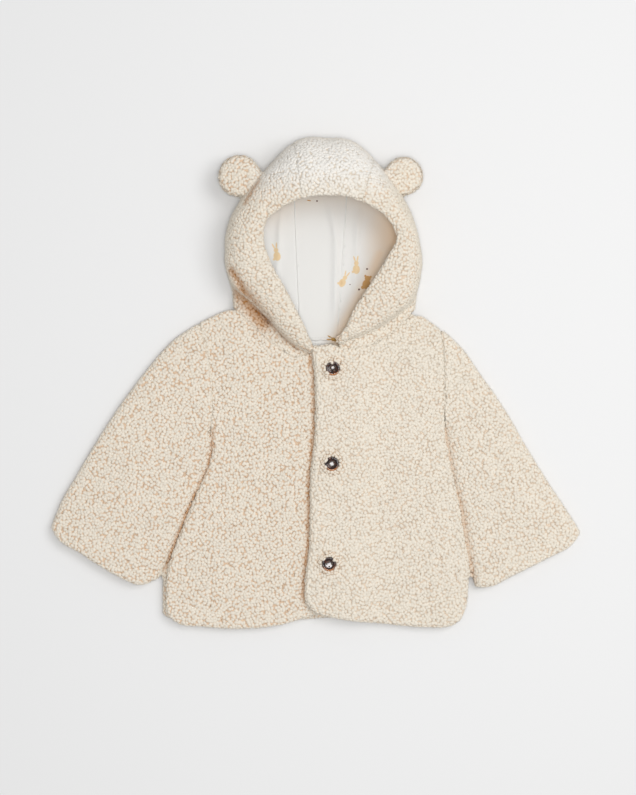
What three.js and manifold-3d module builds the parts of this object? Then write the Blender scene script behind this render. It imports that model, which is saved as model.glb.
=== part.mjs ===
// A baby's hooded coat of curly faux fur, laid on its back with the front buttoned.
// Millimetres, +Z up. The coat rests on z = 0, its hem points to -Y and its hood to +Y.
// Left and right in the names are the wearer's, so the left front lies at +X.
import * as THREE from "three";
import { mergeVertices } from "three/addons/utils/BufferGeometryUtils.js";
import Module from "manifold-3d";

const wasm = await Module();
wasm.setup();

// Cloth
const FUR = 7; // pile, backing and body lining together
const JERSEY = 1;
const SEAM_GAP = 0.4; // between two sewn edges
const LAYER_GAP = 0.3; // between layers that lie on each other
const BACK_Z = FUR / 2; // middle of the layer that lies on the table
const FRONT_Z = BACK_Z + FUR + LAYER_GAP;
const LAP_RISE = FUR + LAYER_GAP; // the left front over the right front
const LOFT = 2; // how far the fronts and sleeves stand off the layer below
const LOFT_RUN = 30; // from a side edge to the full loft
const LOFT_HALF = { chest: 125, hem: 150, chestY: -60, hemY: -230 }; // half the lofted width
const HEM = { y: -255, run: 50 }; // from here up to the full loft
const LAP_X = { full: 40, none: 76 }; // the lap's rise ends between these
const CENTRE_X = 13; // middle of the body
const ORIGIN = { x: -0.4, y: -0.85 }; // middle of the whole coat in the tables' frame

// Edges of a sheet: rows of points in from the edge, and the share of the thickness left at it
const FREE = { steps: [0, 0.6, 1.8, 3.6], least: 0.09 };
const ROLLED = { steps: [0, 1, 3], least: 0.42 };
const SEAM = { steps: [0, 1.5], least: 0.84 };

// Colours
const CREAM = 0xe3d7c3;
const CREAM_LIGHT = 0xe9e0cf;
const WHITE_JERSEY = 0xe9e4dd;
const DARK_BROWN = 0x3a2219;

// Body outlines, seen from above: side seams from the hem up, armholes to the shoulder
const RIGHT_SIDE = [
  { x: -165, y: -247 },
  { x: -164, y: -206 },
  { x: -157, y: -182 },
  { x: -145, y: -152 },
  { x: -132, y: -124 },
  { x: -120, y: -104 },
  { x: -113, y: -84 },
];
const RIGHT_ARMHOLE = [
  { x: -111, y: -52 },
  { x: -111, y: -10 },
  { x: -116, y: 30 },
  { x: -125, y: 65 },
];
const LEFT_SIDE = [
  { x: 162, y: -238 },
  { x: 164, y: -206 },
  { x: 160, y: -178 },
  { x: 155, y: -147 },
  { x: 149, y: -115 },
  { x: 142, y: -82 },
];
const LEFT_ARMHOLE = [
  { x: 137, y: -50 },
  { x: 138, y: -10 },
  { x: 137, y: 28 },
  { x: 133, y: 58 },
];
const SIDE_STEP = { right: 4, left: -2 }; // the front's side edge from the back's
const BACK_HEM = [
  { x: -160, y: -255 },
  { x: -110, y: -260 },
  { x: -40, y: -256 },
  { x: 40, y: -252 },
  { x: 110, y: -257 },
  { x: 152, y: -252 },
];
const BACK_NECK = [
  { x: -108, y: 72 },
  { x: -90, y: 77 },
  { x: -70, y: 58 },
  { x: -44, y: 48 },
  { x: -17, y: 45.5 },
  { x: 28, y: 46 },
  { x: 60, y: 51 },
  { x: 85, y: 62 },
  { x: 104, y: 73 },
  { x: 117, y: 68 },
];
const RIGHT_FRONT_HEM = [
  { x: -154, y: -257 },
  { x: -130, y: -261 },
  { x: -82, y: -264 },
  { x: -39, y: -260 },
  { x: -12, y: -252 },
  { x: 15, y: -244 },
  { x: 30, y: -236 },
];
const RIGHT_FRONT_OPENING = [
  { x: 33, y: -226 },
  { x: 34, y: -160 },
  { x: 37, y: -87 },
  { x: 38, y: 22 },
];
const RIGHT_FRONT_NECK = [
  { x: -108, y: 73 },
  { x: -90, y: 78.5 },
  { x: -82, y: 75 },
  { x: -67, y: 61 },
  { x: -49, y: 45 },
  { x: -28, y: 30 },
  { x: -6, y: 23 },
  { x: 16, y: 21 },
];
const LEFT_FRONT_HEM = [
  { x: -9, y: -240 },
  { x: 3, y: -247 },
  { x: 26, y: -253 },
  { x: 69, y: -258 },
  { x: 112, y: -262 },
  { x: 144, y: -261 },
  { x: 157, y: -253 },
];
const LEFT_FRONT_OPENING = [
  { x: -12, y: -228 },
  { x: -11, y: -205 },
  { x: -7, y: -178 },
  { x: -6, y: -125 },
  { x: -5, y: -93 },
  { x: -2, y: -71 },
  { x: 0, y: -39 },
  { x: 1, y: -7 },
  { x: 0, y: 20 },
  { x: 0, y: 33 },
];
const LEFT_FRONT_NECK = [
  { x: 20, y: 36 },
  { x: 39, y: 36.5 },
  { x: 60, y: 41 },
  { x: 82, y: 54 },
  { x: 106, y: 73 },
  { x: 118, y: 68.5 },
];

// Sleeves: the fold over the arm from the shoulder, and the cuff from that fold
const UNDERARM_GAP = 2.6;
const UNDERARM_CORNER = 4.5;
const ARMHOLE_GAP = 1;
const RIGHT_OVERARM = [
  { x: -143, y: 55 },
  { x: -160, y: 41 },
  { x: -177, y: 21 },
  { x: -207, y: -18 },
  { x: -233, y: -58 },
  { x: -264, y: -111 },
  { x: -278, y: -136 },
  { x: -283, y: -154 },
];
const RIGHT_CUFF = [
  { x: -279, y: -167 },
  { x: -256, y: -181 },
  { x: -228, y: -199 },
  { x: -201, y: -213 },
  { x: -184, y: -217 },
  { x: -170, y: -208 },
];
const LEFT_OVERARM = [
  { x: 145, y: 49 },
  { x: 159, y: 34 },
  { x: 174, y: 12 },
  { x: 198, y: -21 },
  { x: 225, y: -67 },
  { x: 252, y: -110 },
  { x: 276, y: -146 },
  { x: 284, y: -160 },
];
const LEFT_CUFF = [
  { x: 277, y: -172 },
  { x: 241, y: -192 },
  { x: 205, y: -210 },
  { x: 184, y: -220 },
  { x: 171, y: -218 },
];

// Soft folds in the upper layers: the middle of each, its heading in degrees from +X,
// its length, its width and its height, below zero for a trough
const FOLDS = [
  { x: -86, y: -74, heading: -35, length: 90, width: 16, height: -1.6 },
  { x: -64, y: -30, heading: -60, length: 110, width: 24, height: 1.2 },
  { x: -150, y: -28, heading: -118, length: 100, width: 20, height: -1.3 },
  { x: -196, y: -92, heading: -122, length: 120, width: 26, height: 1.3 },
  { x: 112, y: -92, heading: -112, length: 90, width: 16, height: -1.6 },
  { x: 92, y: -20, heading: -95, length: 110, width: 26, height: 1.2 },
  { x: 176, y: -42, heading: -62, length: 110, width: 20, height: -1.3 },
  { x: 214, y: -108, heading: -58, length: 110, width: 26, height: 1.3 },
  { x: -60, y: -190, heading: -85, length: 110, width: 26, height: -0.9 },
  { x: 92, y: -196, heading: -96, length: 110, width: 26, height: -0.9 },
];

// Hood sections from the right front's neck edge, round the crown, to the left front's:
// the edge of the opening, the outermost line, and the neck seam on its layer
const HOOD_MIDDLE = { x: 7, y: 150 };
const HOOD_SECTIONS = [
  { rimX: -5, rimY: 40, rimZ: 23, outX: -9, outY: 33, outZ: 19, neckX: -8, neckY: 23.7, on: "right" },
  { rimX: -10, rimY: 56, rimZ: 30, outX: -29, outY: 46, outZ: 22, neckX: -30, neckY: 32, on: "right" },
  { rimX: -24, rimY: 85, rimZ: 38, outX: -52, outY: 71, outZ: 25, neckX: -53, neckY: 49, on: "right" },
  { rimX: -36, rimY: 107, rimZ: 43, outX: -72, outY: 90, outZ: 27, neckX: -71, neckY: 66, on: "right" },
  { rimX: -42, rimY: 117, rimZ: 45, outX: -82, outY: 98, outZ: 27, neckX: -82, neckY: 77, on: "right" },
  { rimX: -47, rimY: 127, rimZ: 47, outX: -90.5, outY: 108, outZ: 27, neckX: -86, neckY: 82, on: "fold" },
  { rimX: -51, rimY: 137, rimZ: 49, outX: -95.5, outY: 121, outZ: 26.5, neckX: -81.5, neckY: 76, on: "back" },
  { rimX: -55, rimY: 152, rimZ: 52, outX: -97, outY: 142, outZ: 26, neckX: -68, neckY: 59.5, on: "back" },
  { rimX: -51, rimY: 174, rimZ: 57, outX: -87, outY: 184, outZ: 25, neckX: -44, neckY: 49.5, on: "back" },
  { rimX: -18, rimY: 193, rimZ: 68, outX: -27, outY: 254, outZ: 24, neckX: -17, neckY: 47, on: "back" },
  { rimX: 12, rimY: 196, rimZ: 70, outX: 10, outY: 261, outZ: 23, neckX: 5, neckY: 46.5, on: "back" },
  { rimX: 38, rimY: 194, rimZ: 68, outX: 46, outY: 253, outZ: 24, neckX: 28, neckY: 47.5, on: "back" },
  { rimX: 71, rimY: 179, rimZ: 59, outX: 95, outY: 194, outZ: 25, neckX: 60, neckY: 52.5, on: "back" },
  { rimX: 86, rimY: 156, rimZ: 52, outX: 111, outY: 146, outZ: 26, neckX: 85, neckY: 63.5, on: "back" },
  { rimX: 80, rimY: 141, rimZ: 50, outX: 112.5, outY: 122, outZ: 27, neckX: 99, neckY: 73.5, on: "back" },
  { rimX: 72, rimY: 128, rimZ: 47, outX: 109, outY: 104, outZ: 27, neckX: 103.5, neckY: 79, on: "fold" },
  { rimX: 65, rimY: 116, rimZ: 45, outX: 103, outY: 90, outZ: 27, neckX: 99, neckY: 73.5, on: "left" },
  { rimX: 56, rimY: 103, rimZ: 43, outX: 92, outY: 79, outZ: 27, neckX: 82, neckY: 57, on: "left" },
  { rimX: 41, rimY: 80, rimZ: 38, outX: 68, outY: 62, outZ: 27, neckX: 60, neckY: 43, on: "left" },
  { rimX: 31, rimY: 59, rimZ: 33, outX: 44, outY: 50, outZ: 27.5, neckX: 40, neckY: 38.5, on: "left" },
  { rimX: 20, rimY: 45, rimZ: 30, outX: 25, outY: 42, outZ: 26, neckX: 23, neckY: 38, on: "left" },
];
const HOOD_TUCK = 17; // from the outermost line in to where the hood meets the table
const RIM_TURN = THREE.MathUtils.degToRad(112); // how far the edge rolls over
const HOOD_SEAMS = { right: 9.1, left: 11.3 }; // section numbers, either side of the centre panel
const LINING_SEAMS = { right: 9, left: 10.8 };
const LINING_GAP = 0.8; // inside the hood's fur
const LINING_LOW = { right: 17, left: 21, fold: 26 }; // height of the hood where it starts
const LINING_BESIDE_FOLD = [0.6, 0.56]; // and its start on the two back sections next to a fold
const LINING_BACK = 2; // rows of the rim that the lining leaves bare

// Ears: middle and radius of the round, the way to the hood, and the droop of the tip
const EARS = [
  { side: "right", x: -82, y: 221, radius: 22.5, heading: -30, reach: 40 },
  { side: "left", x: 94, y: 221, radius: 20.5, heading: 209, reach: 34 },
];
const EAR_Z = 31;
const EAR_DROOP = THREE.MathUtils.degToRad(10);
const EAR_THICK = 6;
const EAR_BASE = 15; // half the width where it is sewn to the hood
const EAR_EDGE = 0.4; // half the thickness at the sewn edge
const EAR_STEPS = 9;
const EAR_RINGS = [0.5, 0.8, 0.94, 1];

// Buttons, on the left front
const BUTTONS = [
  { name: "button_top", x: 18, y: 16 },
  { name: "button_middle", x: 17, y: -86 },
  { name: "button_bottom", x: 14, y: -193 },
];
const BUTTON_RADIUS = 7.5;
const BUTTON_THICK = 3.2;
const BUTTON_DISH = 1.1;
const BUTTON_SIDES = 28;
const HOLE_COUNT = 4;
const HOLE_RADIUS = 0.9;
const HOLE_CIRCLE = 2.7;
const HOLE_SIDES = 10;

// Facing inside the back neck
const FACING = { xMin: -24, xMax: 40, yLow: 26, yHigh: 45 };

const CURVE_SAMPLES = 300;
const clamp = THREE.MathUtils.clamp;
const lerp = THREE.MathUtils.lerp;
const smooth = (value) => THREE.MathUtils.smoothstep(value, 0, 1);
const coat = new THREE.Group();

// Curves and patches

// A smooth line through a table's rows, or through those from one row number to another.
function curveThrough(rows, from = 0, to = rows.length - 1) {
  const points = rows.map((row) => new THREE.Vector3(row.x, row.y, 0));
  const curve = new THREE.CatmullRomCurve3(points, false, "centripetal");
  const whole = rows.length - 1;
  const samples = [];
  for (let i = 0; i <= CURVE_SAMPLES; i += 1) {
    samples.push(curve.getPoint(lerp(from, to, i / CURVE_SAMPLES) / whole));
  }
  const lengths = [0];
  for (let i = 1; i <= CURVE_SAMPLES; i += 1) {
    lengths.push(lengths[i - 1] + samples[i].distanceTo(samples[i - 1]));
  }
  return (share) => {
    const wanted = clamp(share, 0, 1) * lengths[CURVE_SAMPLES];
    let i = 1;
    while (i < CURVE_SAMPLES && lengths[i] < wanted) {
      i += 1;
    }
    const within = (wanted - lengths[i - 1]) / (lengths[i] - lengths[i - 1]);
    return samples[i - 1].clone().lerp(samples[i], within);
  };
}

const shifted = (rows, x) => rows.map((row) => ({ x: row.x + x, y: row.y }));
const reversed = (rows) => [...rows].reverse();

// A plan patch between four edges: low and high run along u, start and end along v.
function planPatch(lowAt, highAt, startAt, endAt) {
  const corners = [startAt(0), endAt(0), startAt(1), endAt(1)];
  return (u, v) => {
    const across = lowAt(u).multiplyScalar(1 - v).addScaledVector(highAt(u), v);
    const along = startAt(v).multiplyScalar(1 - u).addScaledVector(endAt(v), u);
    return across
      .add(along)
      .addScaledVector(corners[0], -(1 - u) * (1 - v))
      .addScaledVector(corners[1], -u * (1 - v))
      .addScaledVector(corners[2], -(1 - u) * v)
      .addScaledVector(corners[3], -u * v);
  };
}

// Shares from 0 to 1, with extra ones at the given distances from either end.
function shares(count, span, atStart, atEnd) {
  const first = atStart.map((distance) => distance / span);
  const last = atEnd.map((distance) => 1 - distance / span).reverse();
  const from = first.at(-1);
  const to = last[0];
  const between = [];
  for (let i = 1; i < count; i += 1) {
    between.push(lerp(from, to, i / count));
  }
  return [...first, ...between, ...last];
}

// Half the thickness at a distance from an edge, as a share of the full half.
function edgeShare(edge, distance) {
  const run = edge.steps.at(-1);
  const left = clamp(1 - distance / run, 0, 1);
  return lerp(edge.least, 1, Math.sqrt(1 - left * left));
}

function normalAt(surface, u, v) {
  const step = 2e-4;
  const du = surface(u + step, v).sub(surface(u - step, v));
  const dv = surface(u, v + step).sub(surface(u, v - step));
  return du.cross(dv).normalize();
}

// Distance from a point to a polyline.
function distanceTo(line, point) {
  const segment = new THREE.Line3();
  const nearest = new THREE.Vector3();
  let least = Infinity;
  for (let i = 0; i + 1 < line.length; i += 1) {
    segment.set(line[i], line[i + 1]);
    segment.closestPointToPoint(point, true, nearest);
    least = Math.min(least, nearest.distanceTo(point));
  }
  return least;
}

// A sheet of cloth over a surface: edges are { u0, u1, v0, v1 }, or { v0, v1 } round a tube.
function sheet(surface, us, vs, edges, thickness) {
  const tube = !edges.u0;
  const grid = us.map((u) => vs.map((v) => surface(u, v)));
  const normals = us.map((u) => vs.map((v) => normalAt(surface, u, v)));
  const last = { u: us.length - 1, v: vs.length - 1 };
  const drawIn = (point, next, edge) => {
    if (edge === SEAM) {
      point.addScaledVector(next.clone().sub(point).normalize(), SEAM_GAP / 2);
    }
  };
  if (!tube) {
    vs.forEach((_, j) => {
      drawIn(grid[0][j], grid[1][j], edges.u0);
      drawIn(grid[last.u][j], grid[last.u - 1][j], edges.u1);
    });
  }
  us.forEach((_, i) => {
    drawIn(grid[i][0], grid[i][1], edges.v0);
    drawIn(grid[i][last.v], grid[i][last.v - 1], edges.v1);
  });
  const lines = [
    [edges.v0, grid.map((column) => column[0])],
    [edges.v1, grid.map((column) => column[last.v])],
  ];
  if (!tube) {
    lines.push([edges.u0, grid[0]], [edges.u1, grid[last.u]]);
  }
  const outer = [];
  const inner = [];
  us.forEach((_, i) => {
    vs.forEach((__, j) => {
      const point = grid[i][j];
      const left = lines.map(([edge, line]) => edgeShare(edge, distanceTo(line, point)));
      const share = Math.min(...left);
      const reach = (thickness / 2) * share;
      outer.push(point.clone().addScaledVector(normals[i][j], reach));
      inner.push(point.clone().addScaledVector(normals[i][j], -reach));
    });
  });
  return closedMesh(outer, inner, us.length, vs.length, tube);
}

// Joins two grids of points into one closed body.
function closedMesh(outer, inner, countU, countV, tube) {
  const points = [...outer, ...inner];
  const under = outer.length;
  const index = [];
  const at = (i, j) => (i % countU) * countV + j;
  const quad = (a, b, c, d) => {
    const short = points[a].distanceTo(points[c]) <= points[b].distanceTo(points[d]);
    index.push(...(short ? [a, b, c, a, c, d] : [a, b, d, b, c, d]));
  };
  const spanU = tube ? countU : countU - 1;
  for (let i = 0; i < spanU; i += 1) {
    for (let j = 0; j < countV - 1; j += 1) {
      const [a, b, c, d] = [at(i, j), at(i + 1, j), at(i + 1, j + 1), at(i, j + 1)];
      quad(a, b, c, d);
      quad(under + d, under + c, under + b, under + a);
    }
    quad(at(i + 1, 0), at(i, 0), under + at(i, 0), under + at(i + 1, 0));
    const end = countV - 1;
    quad(at(i, end), at(i + 1, end), under + at(i + 1, end), under + at(i, end));
  }
  if (!tube) {
    const end = countU - 1;
    for (let j = 0; j < countV - 1; j += 1) {
      quad(at(0, j), at(0, j + 1), under + at(0, j + 1), under + at(0, j));
      quad(at(end, j + 1), at(end, j), under + at(end, j), under + at(end, j + 1));
    }
  }
  const geometry = new THREE.BufferGeometry().setFromPoints(points);
  geometry.setIndex(index);
  return geometry;
}

function add(name, geometry, color, roughness) {
  geometry.computeVertexNormals();
  const material = new THREE.MeshStandardMaterial({ color, roughness, metalness: 0 });
  const mesh = new THREE.Mesh(geometry, material);
  mesh.name = name;
  mesh.position.set(-ORIGIN.x, -ORIGIN.y, 0);
  coat.add(mesh);
}

// Heights of the layers

function foldHeight(x, y) {
  let height = 0;
  for (const fold of FOLDS) {
    const turn = THREE.MathUtils.degToRad(fold.heading);
    const along = (x - fold.x) * Math.cos(turn) + (y - fold.y) * Math.sin(turn);
    const across = (y - fold.y) * Math.cos(turn) - (x - fold.x) * Math.sin(turn);
    const away = ((2 * along) / fold.length) ** 2 + (across / fold.width) ** 2;
    height += fold.height * Math.exp(-away);
  }
  return height;
}

function bodyLoft(x, y) {
  const { chest, hem, chestY, hemY } = LOFT_HALF;
  const half = lerp(chest, hem, smooth((y - chestY) / (hemY - chestY)));
  const fromSide = clamp((half - Math.abs(x - CENTRE_X)) / LOFT_RUN, 0, 1);
  const fromHem = clamp((y - HEM.y) / HEM.run, 0, 1);
  const share = smooth(fromSide) * smooth(fromHem);
  return share * (LOFT + foldHeight(x, y));
}

const lapRise = (x) => LAP_RISE * (1 - smooth((x - LAP_X.full) / (LAP_X.none - LAP_X.full)));
const rightFrontZ = (x, y) => FRONT_Z + bodyLoft(x, y);
const leftFrontZ = (x, y) => FRONT_Z + bodyLoft(x, y) + lapRise(x);

// Body panels

const RIGHT_SHOULDER = RIGHT_ARMHOLE.at(-1);
const LEFT_SHOULDER = LEFT_ARMHOLE.at(-1);

function makePanel(name, lines, heightAt, spans, edges) {
  const plan = planPatch(lines.hem, lines.neck, lines.right, lines.left);
  const surface = (u, v) => {
    const point = plan(u, v);
    return point.setZ(heightAt(point.x, point.y));
  };
  const us = shares(spans.across, spans.width, edges.u0.steps, edges.u1.steps);
  const vs = shares(spans.along, spans.height, edges.v0.steps, edges.v1.steps);
  add(name, sheet(surface, us, vs, edges, FUR), CREAM, 1);
}

function makeBody() {
  const backRight = [...RIGHT_SIDE, ...RIGHT_ARMHOLE];
  const backLeft = [...shifted(LEFT_SIDE, SIDE_STEP.left), ...LEFT_ARMHOLE];
  const backLines = {
    hem: curveThrough([backRight[0], ...BACK_HEM, backLeft[0]]),
    neck: curveThrough([RIGHT_SHOULDER, ...BACK_NECK, LEFT_SHOULDER]),
    right: curveThrough(backRight),
    left: curveThrough(backLeft),
  };
  const backEdges = { u0: ROLLED, u1: ROLLED, v0: FREE, v1: SEAM };
  const backSpans = { across: 12, width: 290, along: 13, height: 300 };
  makePanel("back", backLines, () => BACK_Z, backSpans, backEdges);

  const side = [...shifted(RIGHT_SIDE, SIDE_STEP.right), ...RIGHT_ARMHOLE];
  const rightLines = {
    hem: curveThrough([side[0], ...RIGHT_FRONT_HEM, RIGHT_FRONT_OPENING[0]]),
    neck: curveThrough([RIGHT_SHOULDER, ...RIGHT_FRONT_NECK, RIGHT_FRONT_OPENING.at(-1)]),
    right: curveThrough(side),
    left: curveThrough(RIGHT_FRONT_OPENING),
  };
  const rightEdges = { u0: ROLLED, u1: FREE, v0: FREE, v1: SEAM };
  const rightSpans = { across: 11, width: 180, along: 14, height: 290 };
  makePanel("front_right", rightLines, rightFrontZ, rightSpans, rightEdges);

  const leftSide = [...LEFT_SIDE, ...LEFT_ARMHOLE];
  const leftLines = {
    hem: curveThrough([LEFT_FRONT_OPENING[0], ...LEFT_FRONT_HEM, leftSide[0]]),
    neck: curveThrough([LEFT_FRONT_OPENING.at(-1), ...LEFT_FRONT_NECK, LEFT_SHOULDER]),
    right: curveThrough(LEFT_FRONT_OPENING),
    left: curveThrough(leftSide),
  };
  const leftEdges = { u0: FREE, u1: ROLLED, v0: FREE, v1: SEAM };
  const leftSpans = { across: 12, width: 155, along: 14, height: 290 };
  makePanel("front_left", leftLines, leftFrontZ, leftSpans, leftEdges);
}

// Sleeves: flattened tubes, a fold over the arm and one at the underarm seam

const SLEEVE_FOLD = (FRONT_Z - BACK_Z) / 2; // radius of the middle of the cloth in a fold
const FOLD_STEPS = 3;
const FLAT_STEPS = 8;

// Places round a flattened section: a share across it, and an angle in a fold.
function flatRing(steps) {
  const ring = [];
  for (let i = 1; i < steps; i += 1) {
    ring.push({ across: i / steps, turn: 0 });
  }
  for (let i = 0; i <= FOLD_STEPS; i += 1) {
    ring.push({ across: 1, turn: (Math.PI * i) / FOLD_STEPS });
  }
  for (let i = 1; i < steps; i += 1) {
    ring.push({ across: 1 - i / steps, turn: Math.PI });
  }
  for (let i = 0; i <= FOLD_STEPS; i += 1) {
    ring.push({ across: 0, turn: Math.PI + (Math.PI * i) / FOLD_STEPS });
  }
  return ring;
}

// The ring's corners follow round in u, which runs from 0 to 1 and starts again.
function ringPlace(ring, u) {
  const turned = (((u % 1) + 1) % 1) * ring.length;
  const from = ring[Math.floor(turned) % ring.length];
  const to = ring[(Math.floor(turned) + 1) % ring.length];
  const share = turned - Math.floor(turned);
  const toTurn = to.turn < from.turn ? to.turn + Math.PI * 2 : to.turn;
  return { across: lerp(from.across, to.across, share), turn: lerp(from.turn, toTurn, share) };
}

function makeSleeve(side, rows, away, flip) {
  const underarm = shifted(rows.armhole, away * UNDERARM_CORNER)[0];
  const seam = [underarm, ...shifted(rows.armhole.slice(1), away * ARMHOLE_GAP)];
  const under = shifted(reversed(rows.side).slice(0, -2), away * UNDERARM_GAP);
  const shoulder = seam.at(-1);
  const plan = planPatch(
    curveThrough([shoulder, ...rows.over]),
    curveThrough([underarm, ...under, rows.cuff.at(-1)]),
    curveThrough(reversed(seam)),
    curveThrough([rows.over.at(-1), ...rows.cuff]),
  );
  const ring = flatRing(FLAT_STEPS);
  const silhouette = SLEEVE_FOLD + FUR / 2;
  const surface = (u, v) => {
    const place = ringPlace(ring, flip ? -u : u);
    const width = plan(v, 0).distanceTo(plan(v, 1));
    const inset = silhouette / width;
    const middle = lerp(inset, 1 - inset, place.across);
    const point = plan(v, middle + (SLEEVE_FOLD / width) * Math.sin(place.turn));
    const height = BACK_Z + SLEEVE_FOLD * (1 + Math.cos(place.turn));
    const fromFold = (Math.min(place.across, 1 - place.across) * width) / LOFT_RUN;
    const loft = smooth(fromFold) * Math.max(0, Math.cos(place.turn));
    return point.setZ(height + loft * (LOFT + foldHeight(point.x, point.y)));
  };
  const us = ring.map((_, i) => i / ring.length);
  const vs = shares(9, 250, SEAM.steps, FREE.steps);
  const geometry = sheet(surface, us, vs, { v0: SEAM, v1: FREE }, FUR);
  add(`sleeve_${side}`, geometry, side === "right" ? CREAM : CREAM_LIGHT, 1);
}

// Hood

const LAYERS = {
  right: rightFrontZ,
  left: leftFrontZ,
  back: () => BACK_Z,
  fold: (x, y) => (BACK_Z + rightFrontZ(x, y)) / 2,
};

function hoodKnots() {
  const knots = [];
  HOOD_SECTIONS.forEach((row) => {
    const out = new THREE.Vector3(row.outX, row.outY, row.outZ);
    const inward = new THREE.Vector3(HOOD_MIDDLE.x - row.outX, HOOD_MIDDLE.y - row.outY, 0);
    out.addScaledVector(inward.normalize(), FUR / 2);
    knots.push({
      on: row.on,
      rim: new THREE.Vector3(row.rimX, row.rimY, row.rimZ),
      out,
      neck: new THREE.Vector3(row.neckX, row.neckY, LAYERS[row.on](row.neckX, row.neckY)),
    });
  });
  return knots;
}

const KNOTS = hoodKnots();
const HOOD_END = KNOTS.length - 1;
const ARC_OVER_CHORD = 1.12;
const LINING_BEND_ROW = 10; // below this row the lining's rows close up to its start
const HOOD_LINES = Object.fromEntries(
  ["rim", "out", "neck"].map((name) => [
    name,
    new THREE.CatmullRomCurve3(KNOTS.map((knot) => knot[name]), false, "catmullrom", 0.5),
  ]),
);

// A point of the hood: section number t, and share v of the way from the neck to the rim.
function hoodPoint(t, v) {
  const place = clamp(t / HOOD_END, 0, 1);
  const [rim, out, neck] = ["rim", "out", "neck"].map((name) => HOOD_LINES[name].getPoint(place));
  neck.z = Math.max(neck.z, BACK_Z);
  const toNeck = new THREE.Vector3(neck.x - out.x, neck.y - out.y, 0);
  const distance = toNeck.length();
  const tuck = Math.min(HOOD_TUCK, distance / 2);
  const base = out.clone().addScaledVector(toNeck.normalize(), tuck).setZ(neck.z);
  const floorLength = distance - tuck;
  const riseLength = Math.hypot(tuck, out.z - neck.z) * ARC_OVER_CHORD;
  const overLength = rim.distanceTo(out) * ARC_OVER_CHORD;
  let length = v * (floorLength + riseLength + overLength);
  if (length <= floorLength) {
    return neck.clone().lerp(base, length / floorLength);
  }
  length -= floorLength;
  if (length <= riseLength) {
    const turn = ((length / riseLength) * Math.PI) / 2;
    const point = base.clone().lerp(out, Math.sin(turn));
    return point.setZ(lerp(neck.z, out.z, 1 - Math.cos(turn)));
  }
  length -= riseLength;
  const turn = (length / overLength) * RIM_TURN;
  const crest = (rim.z - out.z) / Math.sin(RIM_TURN);
  const point = out.clone().lerp(rim, (1 - Math.cos(turn)) / (1 - Math.cos(RIM_TURN)));
  return point.setZ(out.z + crest * Math.sin(turn));
}

// Section numbers of the hood's columns: closer together along the back neck.
function hoodColumns(from, to) {
  const list = new Set([...Object.values(HOOD_SEAMS), ...Object.values(LINING_SEAMS)]);
  KNOTS.forEach((knot, i) => {
    list.add(i);
    if (knot.on === "back" && KNOTS[i + 1].on === "back") {
      list.add(i + 0.5);
    }
  });
  return [...list].filter((t) => t >= from && t <= to).sort((a, b) => a - b);
}

const HOOD_ROWS = shares(15, 230, SEAM.steps, FREE.steps);

function hoodPanel(panel, seams, thickness) {
  const edges = { u0: panel.u0, u1: panel.u1, v0: SEAM, v1: FREE };
  const us = hoodColumns(panel.from(seams), panel.to(seams));
  return sheet(hoodPoint, us, HOOD_ROWS, edges, thickness);
}

const HOOD_PANELS = [
  { side: "right", from: () => 0, to: (seams) => seams.right, u0: FREE, u1: SEAM },
  { side: "centre", from: (seams) => seams.right, to: (seams) => seams.left, u0: SEAM, u1: SEAM },
  { side: "left", from: (seams) => seams.left, to: () => HOOD_END, u0: SEAM, u1: FREE },
];

// The share of a column where its lining starts: at the neck, or where the layers part.
function liningStart(i) {
  if (KNOTS[i].on === "back") {
    const beside = LINING_BESIDE_FOLD.findIndex((_, step) =>
      [KNOTS[i - step - 1], KNOTS[i + step + 1]].some((knot) => knot.on === "fold"),
    );
    return beside < 0 ? 0 : LINING_BESIDE_FOLD[beside];
  }
  let v = 0;
  while (hoodPoint(i, v).z < LINING_LOW[KNOTS[i].on]) {
    v += 0.01;
  }
  return v;
}

function liningPanel(panel) {
  const inside = FUR / 2 + LINING_GAP + JERSEY / 2;
  const us = hoodColumns(panel.from(LINING_SEAMS), panel.to(LINING_SEAMS));
  const bend = HOOD_ROWS[LINING_BEND_ROW];
  const starts = KNOTS.map((_, i) => liningStart(i));
  const rows = HOOD_ROWS.slice(0, -LINING_BACK);
  const surface = (t, v) => {
    const i = clamp(Math.floor(t), 0, HOOD_END - 1);
    const start = lerp(starts[i], starts[i + 1], t - i);
    const place = v < bend ? lerp(start, bend, v / bend) : v;
    const normal = normalAt(hoodPoint, t, place);
    return hoodPoint(t, place).addScaledVector(normal, inside);
  };
  const edges = { u0: SEAM, u1: SEAM, v0: SEAM, v1: SEAM };
  return sheet(surface, us, rows, edges, JERSEY);
}

function makeHood() {
  HOOD_PANELS.forEach((panel) => {
    add(`hood_${panel.side}`, hoodPanel(panel, HOOD_SEAMS, FUR), CREAM_LIGHT, 1);
    add(`hood_lining_${panel.side}`, liningPanel(panel), WHITE_JERSEY, 0.9);
  });
}

// Ears, each two padded rounds sewn edge to edge, seated on the hood's outside

// Half the ear's width at a distance from its tip, along the way to the hood.
function earHalfWidth(ear, distance) {
  const fromMiddle = distance - ear.radius;
  const round = Math.sqrt(Math.max(0, ear.radius ** 2 - fromMiddle ** 2));
  if (fromMiddle < 0) {
    return round;
  }
  const waist = lerp(ear.radius, EAR_BASE, smooth(fromMiddle / ear.radius));
  return Math.max(round, waist);
}

// Outline points round the ear, from one base corner over the tip to the other.
function earOutline(ear) {
  const length = ear.radius + ear.reach;
  const half = [];
  for (let i = 1; i <= EAR_STEPS; i += 1) {
    const distance = length * (1 - Math.cos((Math.PI / 2) * (i / EAR_STEPS)));
    half.push({ along: distance - ear.radius, across: earHalfWidth(ear, distance) });
  }
  const tip = { along: -ear.radius, across: 0 };
  const mirrored = half.map((row) => ({ along: row.along, across: -row.across }));
  return [...reversed(half), tip, ...mirrored];
}

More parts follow.
